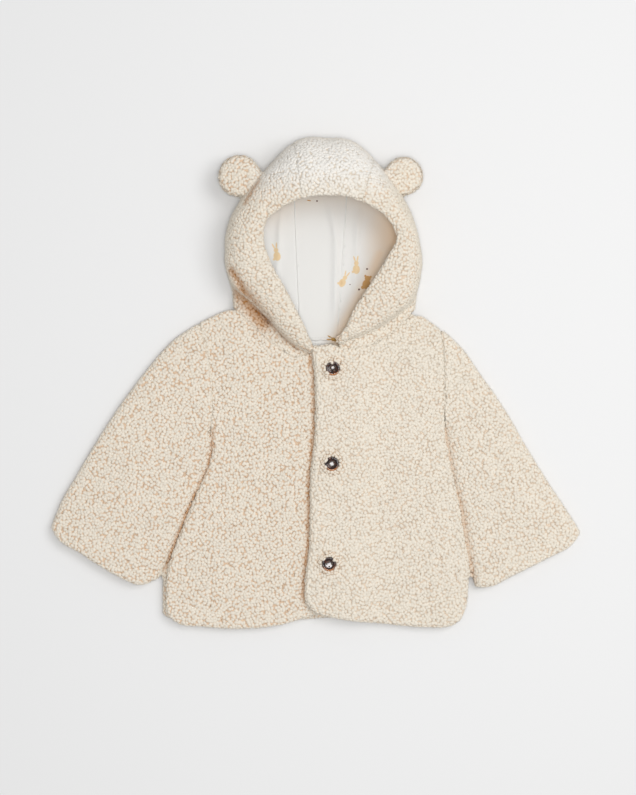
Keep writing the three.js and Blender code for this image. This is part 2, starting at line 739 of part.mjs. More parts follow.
function earRound(ear, face) {
  const outline = earOutline(ear);
  const middle = (ear.reach - ear.radius) / 2;
  const points = [];
  EAR_RINGS.forEach((ring) => {
    const dome = EAR_THICK * Math.sqrt(1 - ring ** 4) + EAR_EDGE;
    outline.forEach((row) => {
      const along = lerp(middle, row.along, ring);
      const across = row.across * ring;
      points.push(new THREE.Vector3(along, across, face * (LAYER_GAP / 2 + dome)));
    });
  });
  const count = outline.length;
  const flat = outline.map((row) => new THREE.Vector3(row.along, row.across, (face * LAYER_GAP) / 2));
  const crown = points.length + flat.length;
  points.push(...flat);
  points.push(new THREE.Vector3(middle, 0, face * (LAYER_GAP / 2 + EAR_THICK + EAR_EDGE)));
  points.push(new THREE.Vector3(middle, 0, (face * LAYER_GAP) / 2));
  const index = [];
  const rings = EAR_RINGS.length;
  for (let k = 0; k < count; k += 1) {
    const next = (k + 1) % count;
    index.push(crown, k, next);
    for (let r = 0; r < rings; r += 1) {
      const [a, b] = [r * count + k, r * count + next];
      index.push(a, a + count, b, b, a + count, b + count);
    }
    index.push(crown + 1, rings * count + next, rings * count + k);
  }
  if (face < 0) {
    index.reverse();
  }
  const geometry = new THREE.BufferGeometry().setFromPoints(points);
  geometry.setIndex(index);
  geometry.rotateY(EAR_DROOP * -1);
  geometry.rotateZ(THREE.MathUtils.degToRad(ear.heading));
  return geometry.translate(ear.x, ear.y, EAR_Z);
}

// Boolean work on closed meshes

function solidOf(geometry) {
  const bare = new THREE.BufferGeometry();
  bare.setAttribute("position", geometry.getAttribute("position"));
  bare.setIndex(geometry.getIndex());
  const merged = mergeVertices(bare, 1e-4);
  return new wasm.Manifold(
    new wasm.Mesh({
      numProp: 3,
      vertProperties: new Float32Array(merged.getAttribute("position").array),
      triVerts: new Uint32Array(merged.getIndex().array),
    }),
  );
}

function geometryOf(solid) {
  const mesh = solid.getMesh();
  const geometry = new THREE.BufferGeometry();
  geometry.setAttribute("position", new THREE.BufferAttribute(mesh.vertProperties, 3));
  geometry.setIndex(new THREE.BufferAttribute(mesh.triVerts, 1));
  return geometry;
}

function makeEars() {
  EARS.forEach((ear) => {
    const panel = HOOD_PANELS.find((piece) => piece.side === ear.side);
    const clear = solidOf(hoodPanel(panel, HOOD_SEAMS, FUR + 2 * LAYER_GAP));
    [
      { face: 1, name: "front" },
      { face: -1, name: "back" },
    ].forEach(({ face, name }) => {
      const cut = solidOf(earRound(ear, face)).subtract(clear);
      const outside = cut
        .decompose()
        .map((piece) => ({ piece, reach: piece.boundingBox() }))
        .sort((a, b) => b.piece.volume() - a.piece.volume())[0].piece;
      add(`ear_${ear.side}_${name}`, geometryOf(outside), CREAM_LIGHT, 1);
    });
  });
}

// Buttons: a dished disc with four holes

function buttonSolid() {
  const r = BUTTON_RADIUS;
  const t = BUTTON_THICK;
  const profile = [
    [0, 0],
    [r - 1.2, 0],
    [r - 0.3, 0.6],
    [r, 1.5],
    [r - 0.25, t - 0.6],
    [r - 0.9, t],
    [r - 1.9, t - 0.15],
    [r - 3, t - BUTTON_DISH],
    [0, t - BUTTON_DISH],
  ].map(([x, y]) => new THREE.Vector2(x, y));
  const disc = new THREE.LatheGeometry(profile, BUTTON_SIDES).rotateX(Math.PI / 2);
  let solid = solidOf(disc);
  for (let i = 0; i < HOLE_COUNT; i += 1) {
    const turn = ((Math.PI * 2) / HOLE_COUNT) * (i + 0.5);
    const hole = new THREE.CylinderGeometry(HOLE_RADIUS, HOLE_RADIUS, 4 * t, HOLE_SIDES);
    hole.rotateX(Math.PI / 2);
    hole.translate(HOLE_CIRCLE * Math.cos(turn), HOLE_CIRCLE * Math.sin(turn), 0);
    solid = solid.subtract(solidOf(hole));
  }
  return solid;
}

function makeButtons() {
  const solid = buttonSolid();
  BUTTONS.forEach((button) => {
    let top = leftFrontZ(button.x, button.y);
    for (let i = 0; i < BUTTON_SIDES; i += 1) {
      const turn = (i / BUTTON_SIDES) * Math.PI * 2;
      const x = button.x + BUTTON_RADIUS * Math.cos(turn);
      const y = button.y + BUTTON_RADIUS * Math.sin(turn);
      top = Math.max(top, leftFrontZ(x, y));
    }
    const seat = top + FUR / 2 + LAYER_GAP;
    const geometry = geometryOf(solid).translate(button.x, button.y, seat);
    add(button.name, geometry, DARK_BROWN, 0.25);
  });
}

// Facing inside the back neck, seen between the two ends of the hood

function makeFacing() {
  const { xMin, xMax, yLow, yHigh } = FACING;
  const z = FUR + LAYER_GAP + JERSEY / 2;
  const surface = (u, v) => new THREE.Vector3(lerp(xMin, xMax, u), lerp(yLow, yHigh, v), z);
  const edges = { u0: SEAM, u1: SEAM, v0: SEAM, v1: SEAM };
  const across = shares(3, xMax - xMin, SEAM.steps, SEAM.steps);
  const along = shares(2, yHigh - yLow, SEAM.steps, SEAM.steps);
  add("back_neck_facing", sheet(surface, across, along, edges, JERSEY), WHITE_JERSEY, 0.9);
}

makeBody();
makeSleeve(
  "right",
  { armhole: RIGHT_ARMHOLE, side: RIGHT_SIDE, over: RIGHT_OVERARM, cuff: RIGHT_CUFF },
  -1,
  false,
);
makeSleeve(
  "left",
  { armhole: LEFT_ARMHOLE, side: LEFT_SIDE, over: LEFT_OVERARM, cuff: LEFT_CUFF },
  1,
  true,
);
makeHood();
makeEars();
makeButtons();
makeFacing();

export default coat;
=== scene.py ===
# A baby's hooded coat of curly faux fur, laid on its back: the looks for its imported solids.
# Metres, +Z up, hem towards -Y. Left and right are the wearer's, as in the solids' names.
import math

import bmesh
import bpy
import numpy as np
from mathutils import Matrix, Vector
from mathutils.bvhtree import BVHTree
from mathutils.kdtree import KDTree


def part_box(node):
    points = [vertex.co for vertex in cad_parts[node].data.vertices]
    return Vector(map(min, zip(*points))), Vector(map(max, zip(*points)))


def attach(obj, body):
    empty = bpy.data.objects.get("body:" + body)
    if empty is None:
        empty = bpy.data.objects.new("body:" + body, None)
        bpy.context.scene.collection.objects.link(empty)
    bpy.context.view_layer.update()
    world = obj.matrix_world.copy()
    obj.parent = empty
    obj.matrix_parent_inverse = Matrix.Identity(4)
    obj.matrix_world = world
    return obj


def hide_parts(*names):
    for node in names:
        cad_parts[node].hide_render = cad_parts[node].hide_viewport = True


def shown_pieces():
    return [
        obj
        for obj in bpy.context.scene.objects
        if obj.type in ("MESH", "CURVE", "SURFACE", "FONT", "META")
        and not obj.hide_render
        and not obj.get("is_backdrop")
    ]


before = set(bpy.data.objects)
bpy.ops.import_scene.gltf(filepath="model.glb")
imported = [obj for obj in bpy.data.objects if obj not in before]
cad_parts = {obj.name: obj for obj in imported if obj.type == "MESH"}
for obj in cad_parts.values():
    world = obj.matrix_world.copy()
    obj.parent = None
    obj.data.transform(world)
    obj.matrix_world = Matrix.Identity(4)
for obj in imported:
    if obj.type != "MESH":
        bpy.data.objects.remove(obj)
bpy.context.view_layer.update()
scene = bpy.context.scene
mm = 0.001


# Studio: camera straight above, pale floor, a large soft light from the upper right

studio = {
    "cameraPlace": (2.56, -14.27, 2300),  # mm
    "viewHeight": 858.6,  # mm of floor from the picture's lower edge to its upper one
    "pictureSize": (636, 795),  # pixels
    "floorColor": (0.80, 0.80, 0.80),
    "skyColor": (1.0, 1.0, 1.0),
    "skyStrength": 0.45,
    "keyPlace": (1.15, 0.45, 2.1),  # m
    "keySize": 1.3,
    "keyPower": 22.4,
    "fillPlace": (0.05, -0.16, 2.6),  # over the camera: it shows in the buttons
    "fillSize": 0.6,
    "fillPower": 23,
}


def makeStudio(s):
    lens = bpy.data.cameras.new("photoCamera")
    camera = bpy.data.objects.new("photoCamera", lens)
    camera.location = Vector(s["cameraPlace"]) * mm
    lens.lens = lens.sensor_width * s["cameraPlace"][2] / s["viewHeight"]
    lens.clip_end = 20
    scene.collection.objects.link(camera)
    scene.camera = camera

    bpy.ops.mesh.primitive_plane_add(size=14, location=(0, 0, -0.0004))
    floor = bpy.context.object
    floor.name = "floor"
    paper = bpy.data.materials.new("paleFloor")
    paper.use_nodes = True
    shader = paper.node_tree.nodes["Principled BSDF"]
    shader.inputs["Base Color"].default_value = (*s["floorColor"], 1)
    shader.inputs["Roughness"].default_value = 0.9
    shader.inputs["Specular IOR Level"].default_value = 0.1
    floor.data.materials.append(paper)
    floor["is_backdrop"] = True

    for name in ("key", "fill"):
        lamp = bpy.data.lights.new(name + "Light", "AREA")
        lamp.size = s[name + "Size"]
        lamp.energy = s[name + "Power"]
        light = bpy.data.objects.new(name + "Light", lamp)
        light.location = s[name + "Place"]
        light.rotation_euler = (-Vector(s[name + "Place"])).to_track_quat("-Z", "Y").to_euler()
        scene.collection.objects.link(light)
    sky = bpy.data.worlds.new("softSky")
    sky.use_nodes = True
    background = sky.node_tree.nodes["Background"]
    background.inputs["Color"].default_value = (*s["skyColor"], 1)
    background.inputs["Strength"].default_value = s["skyStrength"]
    scene.world = sky
    scene.view_settings.view_transform = "Standard"
    print("studio: camera, floor, two soft lights")


makeStudio(studio)


# Noise for shaping, worked out on arrays of points

def hashed(cells, seed):
    x, y, z = (cells[..., i].astype(np.int64) for i in range(3))
    mixed = (x * 73856093) ^ (y * 19349663) ^ (z * 83492791) ^ (seed * 2654435761)
    mixed = (mixed ^ (mixed >> 13)) * 1274126177
    mixed = (mixed ^ (mixed >> 16)) & 0xFFFFFF
    return mixed / float(0xFFFFFF)


def softNoise(points, size, seed):
    # smooth values from -1 to 1 that change over the given size in metres
    place = points / size
    cell = np.floor(place)
    part = place - cell
    part = part * part * (3 - 2 * part)
    total = np.zeros(len(points))
    for corner in range(8):
        step = np.array([corner & 1, (corner >> 1) & 1, corner >> 2])
        weight = np.prod(np.where(step == 1, part, 1 - part), axis=1)
        total += weight * hashed(cell + step, seed)
    return total * 2 - 1


# Mesh tools on arrays of points and triangles

def arraysOf(source):
    mesh = source.data
    mesh.calc_loop_triangles()
    points = np.empty(len(mesh.vertices) * 3)
    mesh.vertices.foreach_get("co", points)
    points = points.reshape(-1, 3)
    corners = np.empty(len(mesh.loop_triangles) * 3, dtype=np.int64)
    mesh.loop_triangles.foreach_get("vertices", corners)
    keys = np.round(points * 1e6).astype(np.int64)
    _, first, same = np.unique(keys, axis=0, return_index=True, return_inverse=True)
    triangles = same.reshape(-1)[corners].reshape(-1, 3)
    return points[first], triangles


def faceNormals(points, triangles):
    a, b, c = (points[triangles[:, i]] for i in range(3))
    return np.cross(b - a, c - a)


def unit(vectors):
    length = np.linalg.norm(vectors, axis=1, keepdims=True)
    return vectors / np.maximum(length, 1e-12)


def pointNormals(points, triangles):
    normals = np.zeros_like(points)
    facing = faceNormals(points, triangles)
    for i in range(3):
        for axis in range(3):
            normals[:, axis] += np.bincount(
                triangles[:, i], weights=facing[:, axis], minlength=len(points)
            )
    return unit(normals)


def edgesOf(triangles, count):
    pairs = np.concatenate([triangles[:, [0, 1]], triangles[:, [1, 2]], triangles[:, [2, 0]]])
    pairs.sort(axis=1)
    keys = pairs[:, 0] * count + pairs[:, 1]
    unique, inverse = np.unique(keys, return_inverse=True)
    edges = np.stack([unique // count, unique % count], axis=1)
    return edges, inverse.reshape(3, -1).T


def refined(points, triangles, longest, roundness=0.7):
    # halves each edge longer than the least length wanted at its ends, and rounds the new points
    for _ in range(9):
        edges, ofTriangle = edgesOf(triangles, len(points))
        a, b = points[edges[:, 0]], points[edges[:, 1]]
        wanted = np.minimum(longest[edges[:, 0]], longest[edges[:, 1]])
        split = np.linalg.norm(a - b, axis=1) > wanted
        if not split.any():
            break
        normals = pointNormals(points, triangles)
        middle = (a + b) / 2
        na, nb = normals[edges[:, 0]], normals[edges[:, 1]]
        toA = middle - ((middle - a) * na).sum(1, keepdims=True) * na
        toB = middle - ((middle - b) * nb).sum(1, keepdims=True) * nb
        alike = np.clip((na * nb).sum(1, keepdims=True), 0, 1)
        middle = middle + ((toA + toB) / 2 - middle) * roundness * alike
        numbers = np.full(len(edges), -1)
        numbers[split] = len(points) + np.arange(split.sum())
        points = np.concatenate([points, middle[split]])
        ends = (longest[edges[:, 0]] + longest[edges[:, 1]]) / 2
        longest = np.concatenate([longest, ends[split]])
        triangles = splitTriangles(points, triangles, numbers[ofTriangle])
    return points, triangles


def splitTriangles(points, triangles, marks):
    count = (marks >= 0).sum(1)
    made = [triangles[count == 0]]

    def of(*columns):
        return np.stack(columns, 1)

    def turned(rows, shift):
        return [np.roll(table[rows], -shift, axis=1).T for table in (triangles, marks)]

    for shift in range(3):
        (a, b, c), (ab, bc, _) = turned((count == 1) & (marks[:, shift] >= 0), shift)
        made += [of(a, ab, c), of(ab, b, c)]
        (a, b, c), (ab, bc, _) = turned((count == 2) & (marks[:, (shift + 2) % 3] < 0), shift)
        first = np.linalg.norm(points[a] - points[bc], axis=1)
        second = np.linalg.norm(points[ab] - points[c], axis=1)
        short = (first <= second)[:, None]
        made.append(of(ab, b, bc))
        made.append(np.where(short, of(a, ab, bc), of(a, ab, c)))
        made.append(np.where(short, of(a, bc, c), of(ab, bc, c)))
    t, m = triangles[count == 3], marks[count == 3]
    for corner in range(3):
        made.append(of(t[:, corner], m[:, corner], m[:, (corner + 2) % 3]))
    made.append(m)
    return np.concatenate(made)


def neighbourMean(values, edges, count):
    total = np.zeros((count, values.shape[1]))
    number = np.bincount(edges.reshape(-1), minlength=count)[:, None]
    for axis in range(values.shape[1]):
        for end, other in ((0, 1), (1, 0)):
            weights = values[edges[:, other], axis]
            total[:, axis] += np.bincount(edges[:, end], weights=weights, minlength=count)
    return total / np.maximum(number, 1)


def relaxed(points, triangles, rounds):
    # evens out the facets without shrinking the form
    edges, _ = edgesOf(triangles, len(points))
    for _ in range(rounds):
        for step in (0.5, -0.53):
            points = points + (neighbourMean(points, edges, len(points)) - points) * step
    return points


def spreadOut(values, triangles, rounds):
    edges, _ = edgesOf(triangles, len(values))
    values = values[:, None]
    for _ in range(rounds):
        values = (values + neighbourMean(values, edges, len(values))) / 2
    return values[:, 0]


def joined(parts):
    points, triangles, start = [], [], 0
    for p, t in parts:
        points.append(p)
        triangles.append(t + start)
        start += len(p)
    return np.concatenate(points), np.concatenate(triangles)


def treeOf(points, triangles):
    return BVHTree.FromPolygons(points.tolist(), triangles.tolist())


solidTree = treeOf(*joined(arraysOf(node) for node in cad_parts.values()))


def crossways(ways, steep=0.8, spare=(0.0, 1.0, 0.0)):
    # two directions square to each way and to each other
    side = unit(np.cross(ways, np.where(np.abs(ways[:, 2:]) < steep, [0.0, 0.0, 1.0], spare)))
    return side, np.cross(ways, side)


def openness(points, normals, lift=0.001, reach=0.012):
    # share of five ways out of each point, one straight and four slanting, that no solid blocks
    side, other = crossways(normals, 0.9, (1.0, 0.0, 0.0))
    rise, spread = 0.64, 0.77
    ways = [normals]
    for turn in range(4):
        angle = math.pi / 2 * turn
        slant = side * math.cos(angle) + other * math.sin(angle)
        ways.append(normals * rise + slant * spread)
    free = np.zeros(len(points))
    starts = points + normals * lift
    for way in ways:
        for i in range(len(points)):
            free[i] += solidTree.ray_cast(starts[i], way[i], reach)[0] is None
    return free / len(ways)


def seamGap(points, normals, widest=0.005, lift=0.0001):
    # half the way to the neighbour that a point faces across a narrow gap, else nothing
    half = np.zeros(len(points))
    starts = points + normals * lift
    for i in range(len(points)):
        far = solidTree.ray_cast(starts[i], normals[i], widest)[3]
        if far is not None:
            half[i] = (far + 2 * lift) / 2
    return half


def addPiece(name, mesh, solid=None):
    # a piece of the looks, which takes the place of a solid where one is named
    made = bpy.data.objects.new(name, mesh)
    scene.collection.objects.link(made)
    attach(made, "root")
    if solid:
        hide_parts(solid)
    return made


def makeObject(name, points, triangles, material, values, slot, solid=None):
    mesh = bpy.data.meshes.new(name)
    count = len(triangles)
    mesh.vertices.add(len(points))
    mesh.vertices.foreach_set("co", np.asarray(points, dtype=np.float32).reshape(-1))
    mesh.loops.add(count * 3)
    mesh.loops.foreach_set("vertex_index", np.asarray(triangles, dtype=np.int32).reshape(-1))
    mesh.polygons.add(count)
    mesh.polygons.foreach_set("loop_start", np.arange(0, count * 3, 3, dtype=np.int32))
    mesh.polygons.foreach_set("use_smooth", np.full(count, True))
    mesh.update(calc_edges=True)
    mesh.validate()
    for key, value in values.items():
        layer = mesh.attributes.new(key, "FLOAT", "POINT")
        layer.data.foreach_set("value", np.asarray(value, dtype=np.float32))
    mesh.materials.append(material)
    return addPiece(name, mesh, solid)


# Shader node groups

def feed(tree, socket, value):
    # links a socket, or sets its constant
    if isinstance(value, bpy.types.NodeSocket):
        tree.links.new(value, socket)
    else:
        socket.default_value = (*value, 1) if socket.type == "RGBA" else value


def addNode(tree, kind, values, **settings):
    node = tree.nodes.new("ShaderNode" + kind)
    for key, setting in settings.items():
        setattr(node, key, setting)
    for key, value in values.items():
        feed(tree, node.inputs[key], value)
    return node


def newGroup(name, vectors, numbers, results):
    group = bpy.data.node_groups.new(name, "ShaderNodeTree")
    panel = group.interface
    for label in vectors:
        panel.new_socket(name=label, in_out="INPUT", socket_type="NodeSocketVector")
    for label, value in numbers.items():
        socket = panel.new_socket(name=label, in_out="INPUT", socket_type="NodeSocketFloat")
        socket.default_value = value
    for label in results:
        panel.new_socket(name=label, in_out="OUTPUT", socket_type="NodeSocketFloat")
    return group, group.nodes.new("NodeGroupInput"), group.nodes.new("NodeGroupOutput")


def mathNode(tree, operation, *values):
    return addNode(tree, "Math", dict(enumerate(values)), operation=operation).outputs[0]


def vectorMath(tree, operation, *values):
    node = addNode(tree, "VectorMath", dict(enumerate(values)), operation=operation)
    return node.outputs["Value" if operation in ("DOT_PRODUCT", "LENGTH") else "Vector"]


def mixColors(tree, share, first, second, blend="MIX"):
    values = {0: share, 6: first, 7: second}
    return addNode(tree, "Mix", values, data_type="RGBA", blend_type=blend).outputs[2]


def mapRange(tree, value, low, high, toLow=0.0, toHigh=1.0):
    values = {"Value": value, "From Min": low, "From Max": high, "To Min": toLow, "To Max": toHigh}
    return addNode(tree, "MapRange", values, interpolation_type="SMOOTHSTEP").outputs["Result"]


def noiseNode(tree, vector, size, detail, roughness=0.5, distortion=0.0, output="Fac"):
    values = {"Vector": vector, "Scale": 1 / size, "Detail": detail}
    values.update({"Roughness": roughness, "Distortion": distortion})
    return addNode(tree, "TexNoise", values).outputs[output]


def makeCurlCells():
    # wandering cells the size of a curl: a mask of the cracks between them and a height
    group, start, end = newGroup("curlCells", ["Vector"], {"Size": 0.0036}, ["Crack", "Height"])
    vector = start.outputs["Vector"]
    bend = noiseNode(group, vector, 0.005, 1.0, output="Color")
    shift = addNode(group, "VectorMath", {0: bend, "Scale": 0.004}, operation="SCALE").outputs[0]
    scale = mathNode(group, "DIVIDE", 1.0, start.outputs["Size"])
    values = {"Vector": vectorMath(group, "ADD", vector, shift), "Scale": scale}
    edge = addNode(group, "TexVoronoi", values, feature="DISTANCE_TO_EDGE").outputs["Distance"]
    feed(group, end.inputs["Crack"], mapRange(group, edge, 0.02, 0.3, 1.0, 0.0))
    feed(group, end.inputs["Height"], mapRange(group, edge, 0.0, 0.42))
    return group


def makePileTone():
    # slow and quick changes of tone over the cloth, about 1
    group, start, end = newGroup("pileTone", ["Vector"], {"Tone": 0.5, "Spread": 0.1}, ["Factor"])
    slow = noiseNode(group, start.outputs["Vector"], 0.045, 3.0)
    quick = noiseNode(group, start.outputs["Vector"], 0.0011, 2.0)
    both = mathNode(group, "MULTIPLY_ADD", quick, 0.7, mathNode(group, "MULTIPLY", slow, 0.6))
    both = mathNode(group, "ADD", both, start.outputs["Tone"])
    both = mathNode(group, "SUBTRACT", both, 1.15)
    factor = mathNode(group, "MULTIPLY_ADD", both, start.outputs["Spread"], 1.0)
    feed(group, end.inputs["Factor"], factor)
    return group


def makeFibreBump():
    # fine fibres, as a height
    group, start, end = newGroup("fibreHeight", ["Vector"], {}, ["Height"])
    fine = noiseNode(group, start.outputs["Vector"], 0.0005, 3.0, 0.7)
    coarse = noiseNode(group, start.outputs["Vector"], 0.0013, 1.0)
    height = mathNode(group, "MULTIPLY_ADD", fine, 0.5, mathNode(group, "MULTIPLY", coarse, 0.5))
    feed(group, end.inputs["Height"], height)
    return group


curlCells = makeCurlCells()
pileTone = makePileTone()
fibreHeight = makeFibreBump()


def place(tree, group, **values):
    return addNode(tree, "Group", values, node_tree=group)


def startMaterial(name, roughness, specular, sheen=0.0, sheenColor=(1, 1, 1)):
    material = bpy.data.materials.new(name)
    material.use_nodes = True
    tree = material.node_tree
    shader = tree.nodes["Principled BSDF"]
    feed(tree, shader.inputs["Roughness"], roughness)
    feed(tree, shader.inputs["Specular IOR Level"], specular)
    feed(tree, shader.inputs["Sheen Weight"], sheen)
    feed(tree, shader.inputs["Sheen Tint"], sheenColor)
    return material, tree, shader, addNode(tree, "TexCoord", {}).outputs["Object"]


def attribute(tree, name):
    return addNode(tree, "Attribute", {}, attribute_name=name).outputs["Fac"]


def addBump(tree, shader, height, distance, strength=1.0):
    values = {"Distance": distance, "Strength": strength, "Height": height}
    feed(tree, shader.inputs["Normal"], addNode(tree, "Bump", values).outputs["Normal"])


fur = {
    "tipColor": (0.78, 0.72, 0.62),
    "whiteTip": (0.83, 0.805, 0.76),  # painted highlight towards the crown of the hood
    # painted shade between the curls, at their roots and on the cloth between them
    "rootColor": (0.74, 0.55, 0.39),
    # painted shade in the folds, troughs and gaps
    "creaseColor": (0.47, 0.205, 0.045),
    "creaseTip": 0.66,  # share of the painted crease shade that reaches the tips
    "toneSpread": 0.08,
    "curlSpacing": 2.5,  # mm, the least between two curls
    "curlLength": (2.3, 3.2),
    "curlWidth": (1.85, 2.45),
    "curlHeight": (0.85, 1.3),
    "sink": 0.9,  # how far the cloth lies under the tips
    "earSink": 2.3,  # the same round an ear, where the loose fibres stand out further
    "fibreSpacing": {"ear": 0.85, "other": 1.6},  # loose fibres along the outline, mm
    "fibreLength": {"ear": (3.2, 5.2), "other": (1.9, 3.0)},
    "fibreRadius": 0.27,
    "outlineCalm": 0.8,  # how far the painted shade at the roots is lifted on walls that face sideways, as painted light along the outline
    "whiteCalm": 0.85,  # the same at the crown of the hood, for its painted highlight
    "stripCalm": 0.75,  # the same along a strip
    "firstEdge": 0.009,  # longest edges of the cloth in m, when it is first refined, and then
    "openEdge": 0.0030,  # where it shows,
    "hiddenEdge": 0.010,  # under other pieces
    "restEdge": 0.007,  # and underneath
    "restHeight": 0.002,  # what faces down below this rests on the floor
    "floorGap": 0.0002,  # the least height of curls and fibres
}


def toned(tree, color, where, tone):
    # the colour, lighter or darker from place to place
    values = {"Vector": where, "Tone": tone, "Spread": fur["toneSpread"]}
    factor = place(tree, pileTone, **values).outputs["Factor"]
    grey = addNode(tree, "CombineColor", {i: factor for i in range(3)}).outputs[0]
    return mixColors(tree, 1.0, color, grey, "MULTIPLY")


def makeCurlMaterial():
    material, tree, shader, where = startMaterial("creamCurls", 0.95, 0.1, 0.15, (1, 0.96, 0.9))
    depth = attribute(tree, "height")
    # painted highlight at the crown of the hood
    tip = mixColors(tree, attribute(tree, "crownHighlight"), fur["tipColor"], fur["whiteTip"])
    root = mixColors(tree, attribute(tree, "paleRoots"), fur["rootColor"], tip)
    # painted shade: each curl darker and more tan from its tip down to its root
    color = mixColors(tree, mapRange(tree, depth, 0.2, 0.95), root, tip)
    # painted shade in creases and gaps, reaching less far up the curls
    reach = mapRange(tree, depth, 0.3, 1.0, 1.0, fur["creaseTip"])
    dark = mathNode(tree, "MULTIPLY", attribute(tree, "creaseShade"), reach)
    color = mixColors(tree, dark, color, fur["creaseColor"])
    feed(tree, shader.inputs["Base Color"], toned(tree, color, where, attribute(tree, "tone")))
    addBump(tree, shader, place(tree, fibreHeight, Vector=where).outputs["Height"], 0.0002)
    return material


def makeBackingMaterial():
    # the cloth between the curls, and the pressed pile underneath, which has no curls of its own;
    # the cracks and the cloth between the curls carry painted shade
    material, tree, shader, where = startMaterial("furBacking", 0.95, 0.1, 0.2, (1, 0.96, 0.9))
    cells = place(tree, curlCells, Vector=where, Size=0.0036)
    # painted shade in the cracks of the pressed pile
    pressed = mixColors(tree, cells.outputs["Crack"], fur["tipColor"], fur["rootColor"])
    # painted shade on the cloth between the curls, less where the roots are painted paler
    between = mixColors(tree, attribute(tree, "paleRoots"), fur["rootColor"], fur["tipColor"])
    color = mixColors(tree, attribute(tree, "pressed"), between, pressed)
    # painted shade in creases
    color = mixColors(tree, attribute(tree, "creaseShade"), color, fur["creaseColor"])
    feed(tree, shader.inputs["Base Color"], toned(tree, color, where, 0.5))
    addBump(tree, shader, cells.outputs["Height"], 0.0012)
    return material


creamCurls = makeCurlMaterial()
furBacking = makeBackingMaterial()


# Fur: each panel is its solid's form, set back under the tips, with curls all over what shows

creases = {
    # middle line in mm, half the width and the depth of the trough, how dark the painted shade
    # along it is, and whether the walls beside it keep their own colour
    "hoodFold": {
        "nodes": ["hood_right", "front_right"],
        "line": [(-89, 121), (-76, 100), (-60, 79), (-50, 68)],
        "half": 3.6, "depth": 5.5, "dark": 1.0, "onTop": True,
    },
    "hoodFoldEnd": {
        "nodes": ["hood_right", "front_right"],
        "line": [(-50, 68), (-40, 57), (-30, 47), (-20, 38)],
        "half": 2.6, "depth": 3.2, "dark": 0.6, "onTop": True,
    },
    "hoodFoldShade": {
        "nodes": ["hood_right", "front_right"],
        "line": [(-80, 98), (-72, 87), (-63, 75), (-56, 66)],
        "half": 9.0, "depth": 0.0, "dark": 1.0, "onTop": True,
    },
    "rightEar": {
        "nodes": ["hood_right", "ear_right_front"],
        "line": [(-60, 215), (-64, 209), (-70, 199), (-74, 191)],
        "half": 2.1, "depth": 0.8, "dark": 0.85, "onTop": True,
    },
    "leftEar": {
        "nodes": ["ear_left_front"],
        "line": [(70, 227), (78, 215), (90, 199)],
        "half": 2.4, "depth": 0.8, "dark": 0.5,
    },
    "rightArmhole": {
        "nodes": ["front_right", "sleeve_right", "back"],
        "line": [(-110, -51), (-112, -72), (-117, -92), (-128, -113), (-140, -141), (-163, -199)],
        "half": 1.8, "depth": 0.6, "dark": 0.8,
    },
    "leftArmhole": {
        "nodes": ["sleeve_left", "back"],
        "line": [
            (138, -48), (143, -77), (149, -111), (156, -132), (159, -147), (164, -181), (169, -210),
        ],
        "half": 4.0, "depth": 1.0, "dark": 0.5,
    },
    "opening": {  # its line is found along the edge of the upper front
        "nodes": ["front_right"],
        "half": 2.7, "depth": 0.4, "dark": 0.95,
    },
}

# pieces whose roots are painted paler, from 0 to 1, which lessens the painted shade between the
# curls, and strips where they are paler, along rolled edges, the side edge and the left shoulder
paleRootNodes = {
    "front_left": 0.48, "hood_centre": 0.75, "hood_left": 0.32, "hood_right": 0.28,
    "sleeve_left": 0.42, "ear_left_front": 0.3,
}
paleRootStrips = {
    "hoodEdge": {
        "nodes": ["hood_right"],
        "line": [
            (-59, 151), (-56, 137), (-44, 115), (-30, 91),
            (-21, 79), (-16, 66), (-10, 55), (-9, 47),
        ],
        "half": 4.5,
    },
    "openingEdge": {"nodes": ["front_left"], "half": 6},
    "leftShoulder": {
        "nodes": ["front_left", "sleeve_left"],
        "line": [(72, 44), (115, 30), (152, 2)],
        "half": 26,
    },
    "sideEdge": {
        "nodes": ["front_left"],
        "line": [
            (130, -30), (136, -77), (141, -111), (149, -132), (155, -160), (158, -185), (161, -225),
        ],
        "half": 7,
    },
}

# how the cloth lies away from its solid: middle, reach and shift in mm
nudges = {
    "front_left": [
        {"at": (0, 36), "reach": 14, "by": (-5.5, 7.5, 0)},
        {"at": (17, 38), "reach": 10, "by": (0, 5, 0)},
        {"at": (0, 0), "reach": 28, "by": (-1.5, 0, 0)},
    ],
    "front_right": [
        {"at": (-9, 26), "reach": 9, "by": (3, 8, 1)},
        {"at": (-120, -95), "reach": 24, "by": (-4.5, 4, 0)},
    ],
    "sleeve_right": [{"at": (-120, -95), "reach": 24, "by": (-2.5, 2.5, 0)}],
    "hood_right": [{"at": (-11, 36), "reach": 9, "by": (6, -3, -1)}],
    "hood_left": [{"at": (26, 46), "reach": 7, "by": (0, -3, 0)}],
}


def nudged(node, points):
    for nudge in nudges.get(node, []):
        far = np.linalg.norm(points[:, :2] / mm - nudge["at"], axis=1) / nudge["reach"]
        points = points + np.exp(-far * far)[:, None] * np.array(nudge["by"]) * mm
    return points


def sideLine(node, side, low, high, widest, step=6, stride=0.4):
    # where a node's left (-1) or right (1) edge lies as seen from above, from low to high in mm
    points, triangles = arraysOf(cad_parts[node])
    tree = treeOf(nudged(node, points), triangles)
    line = []
    for y in np.arange(low, high, step):
        for x in np.arange(*widest, -stride * side):
            hit = tree.ray_cast((x * mm, y * mm, 0.2), (0, 0, -1))[0]
            if hit is not None:
                line.append((x, y, hit.z / mm))
                break
    return line


openingLine = [spot[:2] for spot in sideLine("front_left", -1, -234, 34, (-14, 14))]
creases["opening"]["line"] = [(x - 1.8, y) for x, y in openingLine]
paleRootStrips["openingEdge"]["line"] = [(x + 4.5, y) for x, y in openingLine]

curlSides = 5
curlLow = 0.5  # how far a curl reaches into the cloth, of its height


